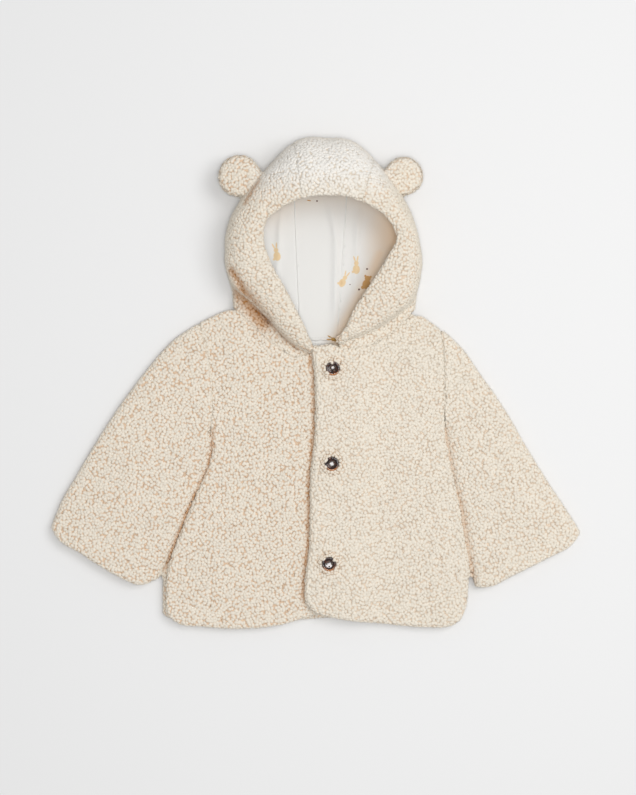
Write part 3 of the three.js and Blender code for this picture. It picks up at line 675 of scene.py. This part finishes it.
def curlShape():
    # a closed pillow one unit long, wide and high: a skirt, a shoulder, a tip and a foot
    rings = [(1.08, -curlLow), (0.86, 0.62)]
    points = []
    for radius, height in rings:
        for i in range(curlSides):
            turn = 2 * math.pi * (i + 0.5 * (height > 0)) / curlSides
            points.append((radius * math.cos(turn), radius * math.sin(turn), height))
    points += [(0, 0, 1.0), (0, 0, -curlLow)]
    triangles = []
    for i in range(curlSides):
        a, b = i, (i + 1) % curlSides
        triangles += [(a, b, a + curlSides), (b, b + curlSides, a + curlSides)]
        triangles += [(a + curlSides, b + curlSides, 2 * curlSides), (b, a, 2 * curlSides + 1)]
    return np.array(points), np.array(triangles)


def scatter(points, triangles, weight, spacing, rng, marks):
    # random places on the triangles, none closer than the spacing, with their normals and marks
    spacing = spacing * mm
    area = np.linalg.norm(faceNormals(points, triangles), axis=1) / 2 * weight
    total = area.sum()
    count = int(total / (spacing * spacing) * 5)
    chosen = np.searchsorted(np.cumsum(area) / total, rng.random(count))
    chosen = np.minimum(chosen, len(triangles) - 1)
    a, b = rng.random(count), rng.random(count)
    over = a + b > 1
    a[over], b[over] = 1 - a[over], 1 - b[over]
    shares = np.stack([1 - a - b, a, b], axis=1)
    places = (points[triangles[chosen]] * shares[:, :, None]).sum(1)
    tree = KDTree(count)
    for i, spot in enumerate(places):
        tree.insert(spot, i)
    tree.balance()
    free = np.ones(count, dtype=bool)
    kept = []
    for i in range(count):
        if free[i]:
            kept.append(i)
            for _, j, _ in tree.find_range(places[i], spacing):
                free[j] = False
    corners, shares = triangles[chosen[kept]], shares[kept]
    facing = unit((pointNormals(points, triangles)[corners] * shares[:, :, None]).sum(1))
    return places[kept], facing, *[(mark[corners] * shares).sum(1) for mark in marks]


def makeCurls(name, places, normals, creaseShade, paleRoots, rng, settings, tall=1.0, cloth=None):
    shape, faces = curlShape()
    count, per = len(places), len(shape)
    flow = softNoise(places, 0.011, 5) * math.pi * 1.5 + rng.normal(0, 0.7, count)
    side, other = crossways(normals)
    along = side * np.cos(flow)[:, None] + other * np.sin(flow)[:, None]
    across = np.cross(normals, along)
    length = rng.uniform(*settings["curlLength"], count) * mm
    width = rng.uniform(*settings["curlWidth"], count) * mm
    height = rng.uniform(*settings["curlHeight"], count) * mm * tall
    bend = rng.uniform(-0.5, 0.5, count)
    lean = rng.normal(0, 0.35, (count, 2))
    twist = rng.uniform(0, 2 * math.pi, count)
    x, y, z = (shape[None, :, i] for i in range(3))
    cos, sin = np.cos(twist)[:, None], np.sin(twist)[:, None]
    u, v = x * cos - y * sin, x * sin + y * cos
    rise = np.clip(z, 0, None)
    u = u + lean[:, :1] * rise
    v = v + bend[:, None] * (u * u - 0.4) + lean[:, 1:] * rise
    body = (
        places[:, None, :]
        + along[:, None, :] * (u * length[:, None])[:, :, None]
        + across[:, None, :] * (v * width[:, None])[:, :, None]
    ).reshape(-1, 3)
    rises = np.repeat(normals, per, axis=0)
    if cloth is not None:
        for i in range(len(body)):  # a curl bends round the cloth that it grows on
            spot, way, _, _ = cloth.find_nearest(body[i], 0.006)
            if spot is not None:
                body[i] = spot
                rises[i] += way
        rises = unit(rises)
    body = body + rises * (z * height[:, None]).reshape(-1, 1)
    body[:, 2] = np.maximum(body[:, 2], fur["floorGap"])
    triangles = (faces[None] + (np.arange(count) * per)[:, None, None]).reshape(-1, 3)
    crownHighlight = crownHighlightAt(places)
    values = {
        "height": np.tile((shape[:, 2] + curlLow) / (1 + curlLow), count),
        "tone": np.repeat(rng.random(count), per),
        "creaseShade": np.repeat(creaseShade, per),
        "crownHighlight": np.repeat(crownHighlight, per),
        "paleRoots": np.repeat(np.maximum(crownHighlight * fur["whiteCalm"], paleRoots), per),
    }
    return makeObject("curls_" + name, body, triangles, creamCurls, values, "faux_fur")


def makeFibres(name, places, normals, creaseShade, kind, rng):
    # loose ends that stand out of the pile: thin cones
    count = len(places)
    ways = unit(normals + [0, 0, 0.2] + rng.normal(0, 0.33, (count, 3)))
    side, other = crossways(ways)
    length = rng.uniform(*fur["fibreLength"][kind], count)[:, None] * mm
    corners = []
    for i in range(3):
        turn = 2 * math.pi * i / 3
        out = side * math.cos(turn) + other * math.sin(turn)
        corners.append(places + out * fur["fibreRadius"] * mm)
    corners.append(places + ways * length)
    points = np.stack(corners, 1).reshape(-1, 3)
    points[:, 2] = np.maximum(points[:, 2], fur["floorGap"])
    shape = np.array([(0, 1, 3), (1, 2, 3), (2, 0, 3), (2, 1, 0)])
    triangles = (shape[None] + (np.arange(count) * 4)[:, None, None]).reshape(-1, 3)
    values = {
        "height": np.tile([0.8, 0.8, 0.8, 1.0], count),
        "tone": np.repeat(rng.random(count), 4),
        "creaseShade": np.repeat(creaseShade * 0.5, 4),
        "crownHighlight": np.repeat(crownHighlightAt(places), 4),
        "paleRoots": np.ones(count * 4),
    }
    return makeObject("fibres_" + name, points, triangles, creamCurls, values, "faux_fur")


def crownHighlightAt(points):
    # painted highlight: the raised crown of the hood is painted lighter than the rest
    x, y, z = points.T
    crownHighlight = np.clip((y - 0.19) / 0.035, 0, 1) * np.clip((z - 0.02) / 0.03, 0, 1)
    return crownHighlight * np.clip((0.08 - np.abs(x - hoodMiddle[0])) / 0.02, 0, 1)


def distanceToLine(points, line):
    flat = points[:, :2]
    best = np.full(len(flat), 1e9)
    for a, b in zip(line[:-1], line[1:]):
        a, b = np.array(a) * mm, np.array(b) * mm
        share = np.clip(((flat - a) @ (b - a)) / ((b - a) @ (b - a)), 0, 1)
        best = np.minimum(best, np.linalg.norm(flat - a - share[:, None] * (b - a), axis=1))
    return best


def nearLine(points, line, half):
    # 1 on the line, falling off to either side of it
    near = distanceToLine(points, line) / (half * mm)
    return np.exp(-near * near)


def paleRootsAt(node, points):
    # how much paler the roots are painted, which lessens the painted shade between the curls
    paleRoots = np.full(len(points), paleRootNodes.get(node, 0.0))
    for strip in paleRootStrips.values():
        if node in strip["nodes"]:
            near = nearLine(points, strip["line"], strip["half"])
            paleRoots = np.maximum(paleRoots, fur["stripCalm"] * near)
    return paleRoots


def creaseAt(node, points, normals):
    # troughs pressed into the cloth, and how dark the painted shade in them is
    depth = np.zeros(len(points))
    dark = np.zeros(len(points))
    for fold in creases.values():
        if node in fold["nodes"]:
            trough = nearLine(points, fold["line"], fold["half"])
            depth += trough * np.clip(normals[:, 2] * 2, 0, 1) * fold["depth"] * mm
            if fold.get("onTop"):
                trough = trough * np.clip(normals[:, 2] * 2.5, 0, 1)
            dark = np.maximum(dark, trough * fold["dark"])
    return depth, dark


hoodMiddle = np.array([7.4, 150.9, 0.0]) * mm
liningTop = 0.026


def insideHood(node, points, normals):
    # the lower inner side of a hood panel, which is bare jersey
    inward = unit((hoodMiddle - points) * [1, 1, 0])
    inner = (normals * inward).sum(1) > 0.35
    return inner & (points[:, 2] < liningTop) & node.startswith("hood")


def surfaceOf(points, triangles):
    # normals, how open each point lies, and whether it rests on the floor
    normals = pointNormals(points, triangles)
    rest = (normals[:, 2] < -0.5) & (points[:, 2] < fur["restHeight"])
    return normals, openness(points, normals), rest


def dressFur(node, seed):
    rng = np.random.default_rng(seed)
    kind = "ear" if "ear" in node else "other"
    points, triangles = arraysOf(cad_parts[node])
    low = points[:, 2].min()
    points, triangles = refined(points, triangles, np.full(len(points), fur["firstEdge"]))
    _, free, rest = surfaceOf(points, triangles)
    wanted = np.where(free > 0.25, fur["openEdge"], fur["hiddenEdge"])
    points, triangles = refined(points, triangles, np.where(rest, fur["restEdge"], wanted))
    points = relaxed(points, triangles, 4)
    points[:, 2] = np.maximum(points[:, 2], low)
    normals, free, rest = surfaceOf(points, triangles)
    free = spreadOut(free, triangles, 1)
    steep = np.abs(normals[:, 2])
    showing = np.clip((free - 0.1) / 0.4, 0, 1) * ~rest * ~insideHood(node, points, normals)
    closing = seamGap(points, normals) * ((kind == "ear") | (steep < 0.75))
    closing = spreadOut(closing, triangles, 1)
    sideways = np.clip((0.75 - steep) / 0.3, 0, 1)
    sink = fur["sink"] + (fur["earSink"] - fur["sink"]) * sideways * (kind == "ear")
    sunk = showing * np.clip(1 - closing / 0.0008, 0, 1) * sink * mm
    moved = nudged(node, points + normals * (closing - sunk)[:, None])
    depth, dark = creaseAt(node, moved, normals)
    moved[:, 2] -= depth
    moved[:, 2] = np.maximum(moved[:, 2], low)
    # painted light: roots paler at the crown, on walls that face sideways, and by piece and strip
    pale = np.maximum(crownHighlightAt(moved) * fur["whiteCalm"], sideways * fur["outlineCalm"])
    pale = np.maximum(pale, paleRootsAt(node, moved))
    values = {"pressed": (rest | (free < 0.1)).astype(float), "creaseShade": dark, "paleRoots": pale}
    cloth = makeObject("fur_" + node, moved, triangles, furBacking, values, "faux_fur", node)

    weight = showing[triangles].mean(1) > 0.15
    spots = scatter(moved, triangles, weight, fur["curlSpacing"], rng, (dark, pale))
    under = treeOf(moved, triangles)
    pile = makeCurls(node, *spots, rng, fur, cloth=under)
    outline = (showing * sideways * (moved[:, 2] > 0.0012))[triangles].mean(1) > 0.4
    spots = scatter(moved, triangles, outline, fur["fibreSpacing"][kind], rng, (dark,))
    fringe = makeFibres(node, *spots, kind, rng)
    counts = f"{len(pile.data.polygons)} of curls, {len(spots[0])} fibres"
    print(f"{node}: {len(triangles)} triangles of cloth, {counts}")
    return cloth, [pile, fringe], under


furPieces = {}
for number, node in enumerate([
    "back", "front_right", "front_left", "sleeve_right", "sleeve_left",
    "hood_right", "hood_centre", "hood_left",
    "ear_right_front", "ear_right_back", "ear_left_front", "ear_left_back",
]):
    furPieces[node] = dressFur(node, 11 + number)


def topAt(x, y):
    # height of the highest fur at a place, seen from above
    hits = [tree.ray_cast((x, y, 0.2), (0, 0, -1))[0] for _, _, tree in furPieces.values()]
    return max((hit.z for hit in hits if hit is not None), default=None)


tufts = {
    # pile that closes over a crevice: line, how dark its painted shade is, share left out, curl
    # size, how deep in mm and how far to each side the fur that it lies between is looked for
    "right_armhole": (creases["rightArmhole"]["line"], 1.0, 0.1, 0.55, 0.9, 3),
    "left_armhole": (creases["leftArmhole"]["line"], 0.45, 0.2, 1, 0.8, 3),
    "front_opening": ([(x - 0.9, y) for x, y in openingLine], 0.9, 0, 0.8, 0.7, 3),
    "collar_seam": ([(-80, 76), (-60, 57), (-39, 39), (-20, 28)], 0.1, 0, 0.9, 0.5, 3),
    "neck_corner": ([(-3, 27), (-5, 32), (-7, 38)], 0.2, 0, 0.8, 0.2, 3),
    "collar_end": (
        [(-22, 42), (-13, 37), (-4, 34), (-7, 38), (-18, 43)], 0.1, 0, 0.8, -0.3, 0.2,
    ),
}


def makeTufts(name, tuft, seed):
    rng = np.random.default_rng(seed)
    line, dark, missing, size, low, beside = tuft
    places = []
    settings = dict(fur)
    for key in ("curlLength", "curlWidth", "curlHeight"):
        settings[key] = [value * size for value in fur[key]]
    for a, b in zip(line[:-1], line[1:]):
        a, b = np.array(a) * mm, np.array(b) * mm
        count = max(1, round(np.linalg.norm(b - a) / (1.9 * mm * size)))
        for i in range(count):
            x, y = a + (b - a) * (i + rng.random()) / count + rng.normal(0, 0.0004, 2)
            sides = [topAt(x + beside * mm, y), topAt(x - beside * mm, y)]
            if None not in sides and rng.random() > missing:
                places.append((x, y, min(sides) - low * mm))
    places = np.array(places)
    ways = unit(np.array([0, 0, 1.0]) + rng.normal(0, 0.2, (len(places), 3)))
    creaseShade = dark * rng.uniform(0.6, 1.15, len(places))
    return makeCurls(name, places, ways, creaseShade, 0, rng, settings)


tuftPieces = [makeTufts(name, tuft, 41 + i) for i, (name, tuft) in enumerate(tufts.items())]


# Jersey: hood lining and back neck facing

jersey = {
    "color": (0.795, 0.79, 0.77),
    "shadeColor": (0.83, 0.66, 0.49),  # where the fur's colour falls on the inner wall
    "folds": [  # soft ridges down the inside of the hood, mm
        {"x": -41, "half": 3, "height": 2.2, "from": 90, "to": 200},
        {"x": 19, "half": 4, "height": 2.4, "from": 60, "to": 215},
        {"x": 43, "half": 3, "height": 1.8, "from": 80, "to": 200},
    ],
    "foldFade": 30,  # how a fold dies away at its ends, mm
    "longestEdge": 0.0035,  # m, once refined
    "seamRadius": 0.75,
    "printHeight": 8.8,
    "rabbitColor": (0.80, 0.61, 0.37),
    "bearColor": (0.58, 0.33, 0.13),
    "dotColor": (0.12, 0.05, 0.03),
    "dashColor": (0.55, 0.29, 0.08),
    "hareColor": (0.50, 0.29, 0.09),
    "shadeLines": [  # feet of the left collar and of the crown: line and reach in mm, strength
        ([(22, 42), (34, 66), (44, 84), (60, 112), (70, 140)], 9, 0.9),
        ([(-52, 196), (-25, 212), (20, 218), (52, 212), (75, 190)], 24, 0.5),
    ],
}

motifs = [
    # picture pixels of the middle, turn in degrees and size, on the side panels of the lining
    ("rabbit", (276, 252), 14, 1.5),
    ("rabbit", (344, 279), -24, 1.4),
    ("rabbit", (356, 265), 4, 1.5),
    ("bear", (367, 281), -10, 1.4),
    ("dot", (367, 269), 0, 1.3),
    ("dot", (350, 284.5), 0, 0.8),
    ("dot", (359, 289.5), 0, 1.3),
    ("dash", (309, 200.5), -10, 1.2),
    ("dot", (317, 201), 0, 1.2),
    ("hare", (334.5, 340), 74, 1.3),
]

outlines = {
    # ovals of each figure: middle x and y, half width, half height, turn; about 13 mm tall
    "rabbit": [
        (0, -3.2, 2.6, 3.4, 0), (0.3, 1.2, 1.7, 1.7, 0), (-0.8, 4.4, 0.6, 2.3, 14),
        (1.4, 4.4, 0.6, 2.3, -14), (-2.6, -4.8, 0.9, 0.9, 0),
    ],
    "bear": [
        (0, -2.6, 3.2, 3.8, 0), (0.2, 2.0, 2.4, 2.1, 0), (-1.9, 3.6, 0.9, 0.9, 0),
        (2.2, 3.6, 0.9, 0.9, 0), (-2.4, -5.4, 1.3, 1.4, 0), (2.4, -5.4, 1.3, 1.4, 0),
    ],
    "dot": [(0, 0, 0.8, 0.8, 0)],
    "dash": [(0, 0, 1.9, 0.5, 0)],
}
outlines["hare"] = outlines["rabbit"]


def makeFigure(kind):
    # one printed figure as a mask, laid on the cloth by its middle and two directions
    labels = ["Vector", "Middle", "Across", "Up"]
    group, start, end = newGroup(kind + "Print", labels, {}, ["Mask"])
    vector, middle, across, up = (start.outputs[label] for label in labels)

    def work(operation, first, second):
        return mathNode(group, operation, first, second)

    offset = vectorMath(group, "SUBTRACT", vector, middle)
    x = vectorMath(group, "DOT_PRODUCT", offset, across)
    y = vectorMath(group, "DOT_PRODUCT", offset, up)
    far = vectorMath(group, "LENGTH", offset)
    mask = None
    for cx, cy, half, tall, turn in outlines[kind]:
        cos, sin = math.cos(math.radians(turn)), math.sin(math.radians(turn))
        dx, dy = work("SUBTRACT", x, cx * mm), work("SUBTRACT", y, cy * mm)
        u = work("ADD", work("MULTIPLY", dx, cos), work("MULTIPLY", dy, sin))
        v = work("SUBTRACT", work("MULTIPLY", dy, cos), work("MULTIPLY", dx, sin))
        u, v = work("DIVIDE", u, half * mm), work("DIVIDE", v, tall * mm)
        square = work("ADD", work("MULTIPLY", u, u), work("MULTIPLY", v, v))
        oval = mapRange(group, mathNode(group, "SQRT", square), 0.86, 1.08, 1.0, 0.0)
        mask = oval if mask is None else work("MAXIMUM", mask, oval)
    near = work("LESS_THAN", far, 0.014)
    feed(group, end.inputs["Mask"], work("MULTIPLY", mask, near))
    return group


def onLining(pixel):
    # the point of the lining that the picture shows at a pixel, and its normal
    camera = Vector(studio["cameraPlace"]) * mm
    wide, tall = studio["pictureSize"]
    step = studio["viewHeight"] / tall * mm
    right, up = (pixel[0] - wide / 2) * step, (tall / 2 - pixel[1]) * step
    way = (Vector((camera.x + right, camera.y + up, 0)) - camera).normalized()
    for node in ("back_neck_facing", "hood_lining_right", "hood_lining_left", "hood_lining_centre"):
        hit, normal, _, _ = treeOf(*arraysOf(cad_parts[node])).ray_cast(camera, way)
        if hit:
            return hit, normal
    return camera + way * ((jersey["printHeight"] * mm - camera.z) / way.z), Vector((0, 0, 1))


def makeJersey():
    material, tree, shader, where = startMaterial("printedJersey", 0.85, 0.2, 0.1)
    groups = {kind: makeFigure(kind) for kind in outlines}
    color = mixColors(tree, attribute(tree, "shade"), jersey["color"], jersey["shadeColor"])
    for kind, pixel, degrees, size in motifs:
        middle, normal = onLining(pixel)
        up = Vector((0, 1, 0.4))
        up = (up - normal * up.dot(normal)).normalized()
        across = up.cross(normal)
        turn = math.radians(degrees)
        first = (across * math.cos(turn) + up * math.sin(turn)) / size
        second = (up * math.cos(turn) - across * math.sin(turn)) / size
        figure = place(tree, groups[kind], Vector=where, Middle=middle, Across=first, Up=second)
        color = mixColors(tree, figure.outputs["Mask"], color, jersey[kind + "Color"])
    feed(tree, shader.inputs["Base Color"], color)
    values = {"Scale": 330, "Distortion": 0.6, "Vector": where}
    ribs = addNode(tree, "TexWave", values, bands_direction="X")
    addBump(tree, shader, ribs.outputs["Fac"], 0.0001, 0.6)
    return material


printedJersey = makeJersey()


def dressJersey(node):
    points, triangles = arraysOf(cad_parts[node])
    points, triangles = refined(points, triangles, np.full(len(points), jersey["longestEdge"]))
    points = relaxed(points, triangles, 3)
    normals = pointNormals(points, triangles)
    sideways = np.abs(normals[:, 2]) < 0.8
    closing = spreadOut(seamGap(points, normals) * sideways, triangles, 1)
    points = points + normals * closing[:, None]
    for fold in jersey["folds"]:
        near = (points[:, 0] / mm - fold["x"] + 6 * softNoise(points, 0.05, 3)) / fold["half"]
        reach = np.clip((points[:, 1] / mm - fold["from"]) / jersey["foldFade"], 0, 1)
        reach = reach * np.clip((fold["to"] - points[:, 1] / mm) / jersey["foldFade"], 0, 1)
        points[:, 2] += np.exp(-near * near) * reach * normals[:, 2] ** 2 * fold["height"] * mm
    low = 0.0004
    if node == "back_neck_facing":  # its upper edge runs on under the lining
        high = points[:, 1] > 0.044
        points[high, 1] += 0.0035
        points[high, 2] -= 0.0006
        low = points[:, 2].min()
    x, y, _ = points.T
    shade = np.clip((x - 0.048) / 0.036, 0, 1) * np.clip((y - 0.06) / 0.08, 0, 1)
    for line, reach, strength in jersey["shadeLines"]:
        shade = np.maximum(shade, strength * nearLine(points, line, reach))
    points[:, 2] = np.maximum(points[:, 2], low)
    print(f"{node}: {len(triangles)} triangles of jersey")
    values = {"shade": shade}
    return makeObject("jersey_" + node, points, triangles, printedJersey, values, "jersey", node)


for node in ("hood_lining_right", "hood_lining_centre", "hood_lining_left", "back_neck_facing"):
    dressJersey(node)


# Stitches: short threads that dip into the cloth at both ends

stitching = {
    "color": (0.72, 0.71, 0.68),
    "length": 2.3,  # mm
    "gap": 0.9,
    "radius": 0.2,
    "rows": [
        {"from": (-14, 50.0, 8.95), "to": (34, 50.0, 8.95)},
        {"from": (-14, 44.2, 8.5), "to": (34, 44.2, 8.5)},
    ],
}


def threadMaterial(name, color):
    material, tree, shader, where = startMaterial(name, 0.7, 0.3)
    twist = noiseNode(tree, where, 0.0004, 1.0)
    shade = mixColors(tree, twist, [c * 0.8 for c in color], color)
    feed(tree, shader.inputs["Base Color"], shade)
    return material


def threadTube(line, radius, sides=6):
    # a tube round a short line of points, pointed at its ends
    line = np.array(line)
    points, triangles = [], []
    for i, spot in enumerate(line):
        ahead = line[min(i + 1, len(line) - 1)] - line[max(i - 1, 0)]
        ahead = ahead / np.linalg.norm(ahead)
        side = np.cross(ahead, [0.0, 0.0, 1.0])
        if np.linalg.norm(side) < 1e-3:
            side = np.array([1.0, 0.0, 0.0])
        side = side / np.linalg.norm(side)
        up = np.cross(side, ahead)
        size = radius * (0.35 if i in (0, len(line) - 1) else 1.0)
        for k in range(sides):
            turn = 2 * math.pi * k / sides
            points.append(spot + (side * math.cos(turn) + up * math.sin(turn)) * size)
    for i in range(len(line) - 1):
        for k in range(sides):
            a, b = i * sides + k, i * sides + (k + 1) % sides
            triangles += [(a, b, b + sides), (a, b + sides, a + sides)]
    for k in range(1, sides - 1):
        triangles.append((0, k + 1, k))
        last = (len(line) - 1) * sides
        triangles.append((last, last + k, last + k + 1))
    return np.array(points), np.array(triangles)


def makeStitches():
    parts = []
    length, radius = stitching["length"] * mm, stitching["radius"] * mm
    step = (stitching["length"] + stitching["gap"]) * mm
    down = np.array([0, 0, -0.0004])
    for row in stitching["rows"]:
        start, end = np.array(row["from"]) * mm, np.array(row["to"]) * mm
        whole = np.linalg.norm(end - start)
        way = (end - start) / whole
        for i in range(int(whole / step)):
            a = start + way * step * i
            b = a + way * length
            line = [a + down, a * 0.85 + b * 0.15, a * 0.15 + b * 0.85, b + down]
            parts.append(threadTube(line, radius))
    print(f"stitches: {len(parts)}")
    thread = threadMaterial("whiteThread", stitching["color"])
    return makeObject("neck_stitches", *joined(parts), thread, {}, "jersey")


def makeLiningSeam(name, side, widest):
    # the sewn edge stands up as a soft welt
    line = np.array(sideLine("hood_lining_centre", side, 64, 212, widest, 4)) * mm
    for _ in range(3):
        line[1:-1] = (line[:-2] + line[1:-1] * 2 + line[2:]) / 4
    points, triangles = threadTube(line, jersey["seamRadius"] * mm)
    values = {"shade": np.zeros(len(points))}
    return makeObject(name, points, triangles, printedJersey, values, "jersey")


neckStitches = makeStitches()
liningSeams = [
    makeLiningSeam("jersey_seam_right", -1, (-50, 20)),
    makeLiningSeam("jersey_seam_left", 1, (60, 0)),
]


# Buttons: four holes, a dished face, thread through the holes, curls that close over the rim

button = {
    "sides": 64,
    "rim": [  # radius and height, mm
        (6.2, 0), (7.15, 0.5), (7.5, 1.4), (7.38, 2.3), (7.05, 2.9), (6.6, 3.2), (6.1, 3.15),
        (5.6, 2.9), (5.1, 2.6),
    ],
    "face": [4.6, 3.8, 3.0, 2.2, 1.4, 0.6],  # radii of the dished middle
    "faceRadius": 4.6,
    "faceHeight": 2.0,
    "holeRadius": 0.85,
    "holeCircle": 2.7,
    "darkColor": (0.018, 0.008, 0.006),
    "brownColor": (0.085, 0.024, 0.009),
    "rimColor": (0.48, 0.18, 0.05),  # light comes through the thin lower rim
    "threadColor": (0.03, 0.015, 0.01),
    "turn": {"button_top": 40, "button_middle": 52, "button_bottom": 4},  # of the holes, degrees
    "dish": {"button_top": 0.5, "button_middle": 0.35, "button_bottom": 0.2},  # how hollow, mm
    "covered": {  # where curls lie over the rim, degrees
        "button_top": [92, 106, 212, 228],
        "button_middle": [140, 156, 200],
        "button_bottom": [128, 40],
    },
}


def makeButtonMaterial():
    material, tree, shader, where = startMaterial("marbledButton", 0.13, 0.4)
    swirl = mapRange(tree, noiseNode(tree, where, 0.006, 3.0, 0.55, 1.6), 0.46, 0.66)
    color = mixColors(tree, swirl, button["darkColor"], button["brownColor"])
    color = mixColors(tree, attribute(tree, "rim"), color, button["rimColor"])
    feed(tree, shader.inputs["Base Color"], color)
    feed(tree, shader.inputs["Coat Weight"], 0.25)
    feed(tree, shader.inputs["Coat Roughness"], 0.05)
    return material


marbledButton = makeButtonMaterial()
brownThread = threadMaterial("brownThread", button["threadColor"])


def holeWays(node):
    turns = [math.pi / 2 * i + math.radians(button["turn"][node]) for i in range(4)]
    return [np.array([math.cos(turn), math.sin(turn), 0]) for turn in turns]


def buttonMesh(node):
    form = bmesh.new()
    sides = button["sides"]
    rings = []
    face = []
    for radius in button["face"]:
        hollow = button["dish"][node] * (radius / button["faceRadius"]) ** 2
        face.append((radius, button["faceHeight"] + hollow))
    for radius, height in button["rim"] + face:
        turns = [2 * math.pi * i / sides for i in range(sides)]
        spots = [(radius * math.cos(turn), radius * math.sin(turn), height) for turn in turns]
        rings.append([form.verts.new(Vector(spot) * mm) for spot in spots])
    for low, high in zip(rings[:-1], rings[1:]):
        for i in range(sides):
            k = (i + 1) % sides
            form.faces.new((low[i], low[k], high[k], high[i]))
    form.faces.new(list(reversed(rings[0])))
    form.faces.new(rings[-1])
    mesh = bpy.data.meshes.new("buttonForm")
    form.to_mesh(mesh)
    form.free()
    whole = bpy.data.objects.new("buttonForm", mesh)
    scene.collection.objects.link(whole)
    drills = []
    for way in holeWays(node):
        bpy.ops.mesh.primitive_cylinder_add(
            vertices=24,
            radius=button["holeRadius"] * mm,
            depth=0.012,
            location=tuple(button["holeCircle"] * mm * way),
        )
        drill = bpy.context.object
        drills.append(drill)
        cut = whole.modifiers.new("hole", "BOOLEAN")
        cut.object = drill
        cut.operation = "DIFFERENCE"
        cut.solver = "EXACT"
    bpy.context.view_layer.update()
    state = bpy.context.evaluated_depsgraph_get()
    drilled = bpy.data.meshes.new_from_object(whole.evaluated_get(state))
    for thing in drills + [whole]:
        bpy.data.objects.remove(thing)
    return drilled


def rimGlow(mesh):
    # where light comes through, along the lower rim
    places = np.array([vertex.co for vertex in mesh.vertices])
    out = np.linalg.norm(places[:, :2], axis=1)
    lower = np.clip(-places[:, 1] / np.maximum(out, 1e-5) * 1.6 - 0.5, 0, 1)
    return (np.clip((out / mm - 5.6) / 0.8, 0, 1) * lower).astype(np.float32)


def makeButtons():
    curls = []
    for node in ("button_top", "button_middle", "button_bottom"):
        low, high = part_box(node)
        middle = ((low[0] + high[0]) / 2, (low[1] + high[1]) / 2, low[2])
        mesh = buttonMesh(node)
        glow = mesh.attributes.new("rim", "FLOAT", "POINT")
        glow.data.foreach_set("value", rimGlow(mesh))
        mesh.transform(Matrix.Translation(middle))
        for face in mesh.polygons:
            face.use_smooth = True
        mesh.set_sharp_from_angle(angle=math.radians(40))
        mesh.materials.clear()
        mesh.materials.append(marbledButton)
        addPiece("marbled_" + node, mesh, node)
        parts = []
        for way in holeWays(node):  # the thread stays down in the holes
            spot = way * button["holeCircle"] * mm + middle
            parts.append(threadTube([spot + [0, 0, z * mm] for z in (0.1, 0.5, 0.9)], 0.5 * mm))
        makeObject("thread_" + node, *joined(parts), brownThread, {}, "button")
        curls.append(rimCurls(node, np.array(middle)))
    print("buttons: three, with thread and curls round the rims")
    return curls


def rimCurls(node, middle):
    # curls close round a button, and a few lie over its rim
    rng = np.random.default_rng(len(node))
    places, ways, tall = [], [], []
    settings = dict(fur, curlLength=(1.9, 2.8), curlWidth=(1.5, 2.1))
    rows = [  # radius, its spread, lift, height, turns
        (10.4, 1.1, 0.0, 1.4, [i * 16 for i in range(22)]),
        (8.9, 0.3, 0.8, 1.3, [i * 21 for i in range(17)]),
        (7.2, 0.2, 2.6, 1.0, button["covered"][node]),
    ]
    for radius, spread, lift, height, turns in rows:
        for turn in turns:
            turn = math.radians(turn + rng.uniform(-7, 7))
            out = np.array([math.cos(turn), math.sin(turn), 0])
            far = radius + rng.uniform(-spread, spread)
            places.append(middle + out * far * mm + [0, 0, lift * mm])
            ways.append(np.array([0, 0, 1.0]) - out * rng.uniform(0.1, 0.3))
            tall.append(height * rng.uniform(0.8, 1.15))
    places, ways = np.array(places), unit(np.array(ways))
    return makeCurls(node, places, ways, np.zeros(len(places)), 0, rng, settings, np.array(tall))


buttonCurls = makeButtons()


# Cloth: the cut of what shows of each piece, before it was laid out

cuts = {
    # width and length in metres, area in square metres, and what it lies on; a sleeve is cut
    # all round
    "back": (0.327, 0.335, 0.088, []),
    "front_right": (0.199, 0.342, 0.051, ["back"]),
    "front_left": (0.176, 0.335, 0.048, ["back"]),
    "sleeve_right": (0.300, 0.215, 0.055, []),
    "sleeve_left": (0.270, 0.195, 0.042, []),
    "hood_right": (0.150, 0.235, 0.031, []),
    "hood_centre": (0.110, 0.240, 0.024, []),
    "hood_left": (0.130, 0.220, 0.025, []),
    "ear_right_front": (0.045, 0.050, 0.0018, []),
    "ear_right_back": (0.045, 0.050, 0.0018, []),
    "ear_left_front": (0.042, 0.045, 0.0015, []),
    "ear_left_back": (0.042, 0.045, 0.0014, []),
    "hood_lining_right": (0.115, 0.200, 0.021, ["hood_right"]),
    "hood_lining_centre": (0.088, 0.190, 0.0156, ["hood_centre"]),
    "hood_lining_left": (0.120, 0.200, 0.022, ["hood_left"]),
    "back_neck_facing": (0.066, 0.022, 0.0014, ["back"]),
}


def declareCloth():
    loose = {
        "sleeve_right": [tuftPieces[0]],
        "sleeve_left": [tuftPieces[1]],
        "front_right": [tuftPieces[3], tuftPieces[5]],
        "front_left": [tuftPieces[2], tuftPieces[4]] + buttonCurls,
        "hood_lining_centre": liningSeams,
        "back_neck_facing": [neckStitches],
    }
    for node, (wide, long, area, under) in cuts.items():
        pieces = loose.get(node, [])
        if node in furPieces:
            pieces = pieces + furPieces[node][1]
    print(f"cloth: {len(cuts)} sheets declared")


declareCloth()


total = sum(len(o.data.loop_triangles) or len(o.data.polygons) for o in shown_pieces())
print(f"triangles: {total}")
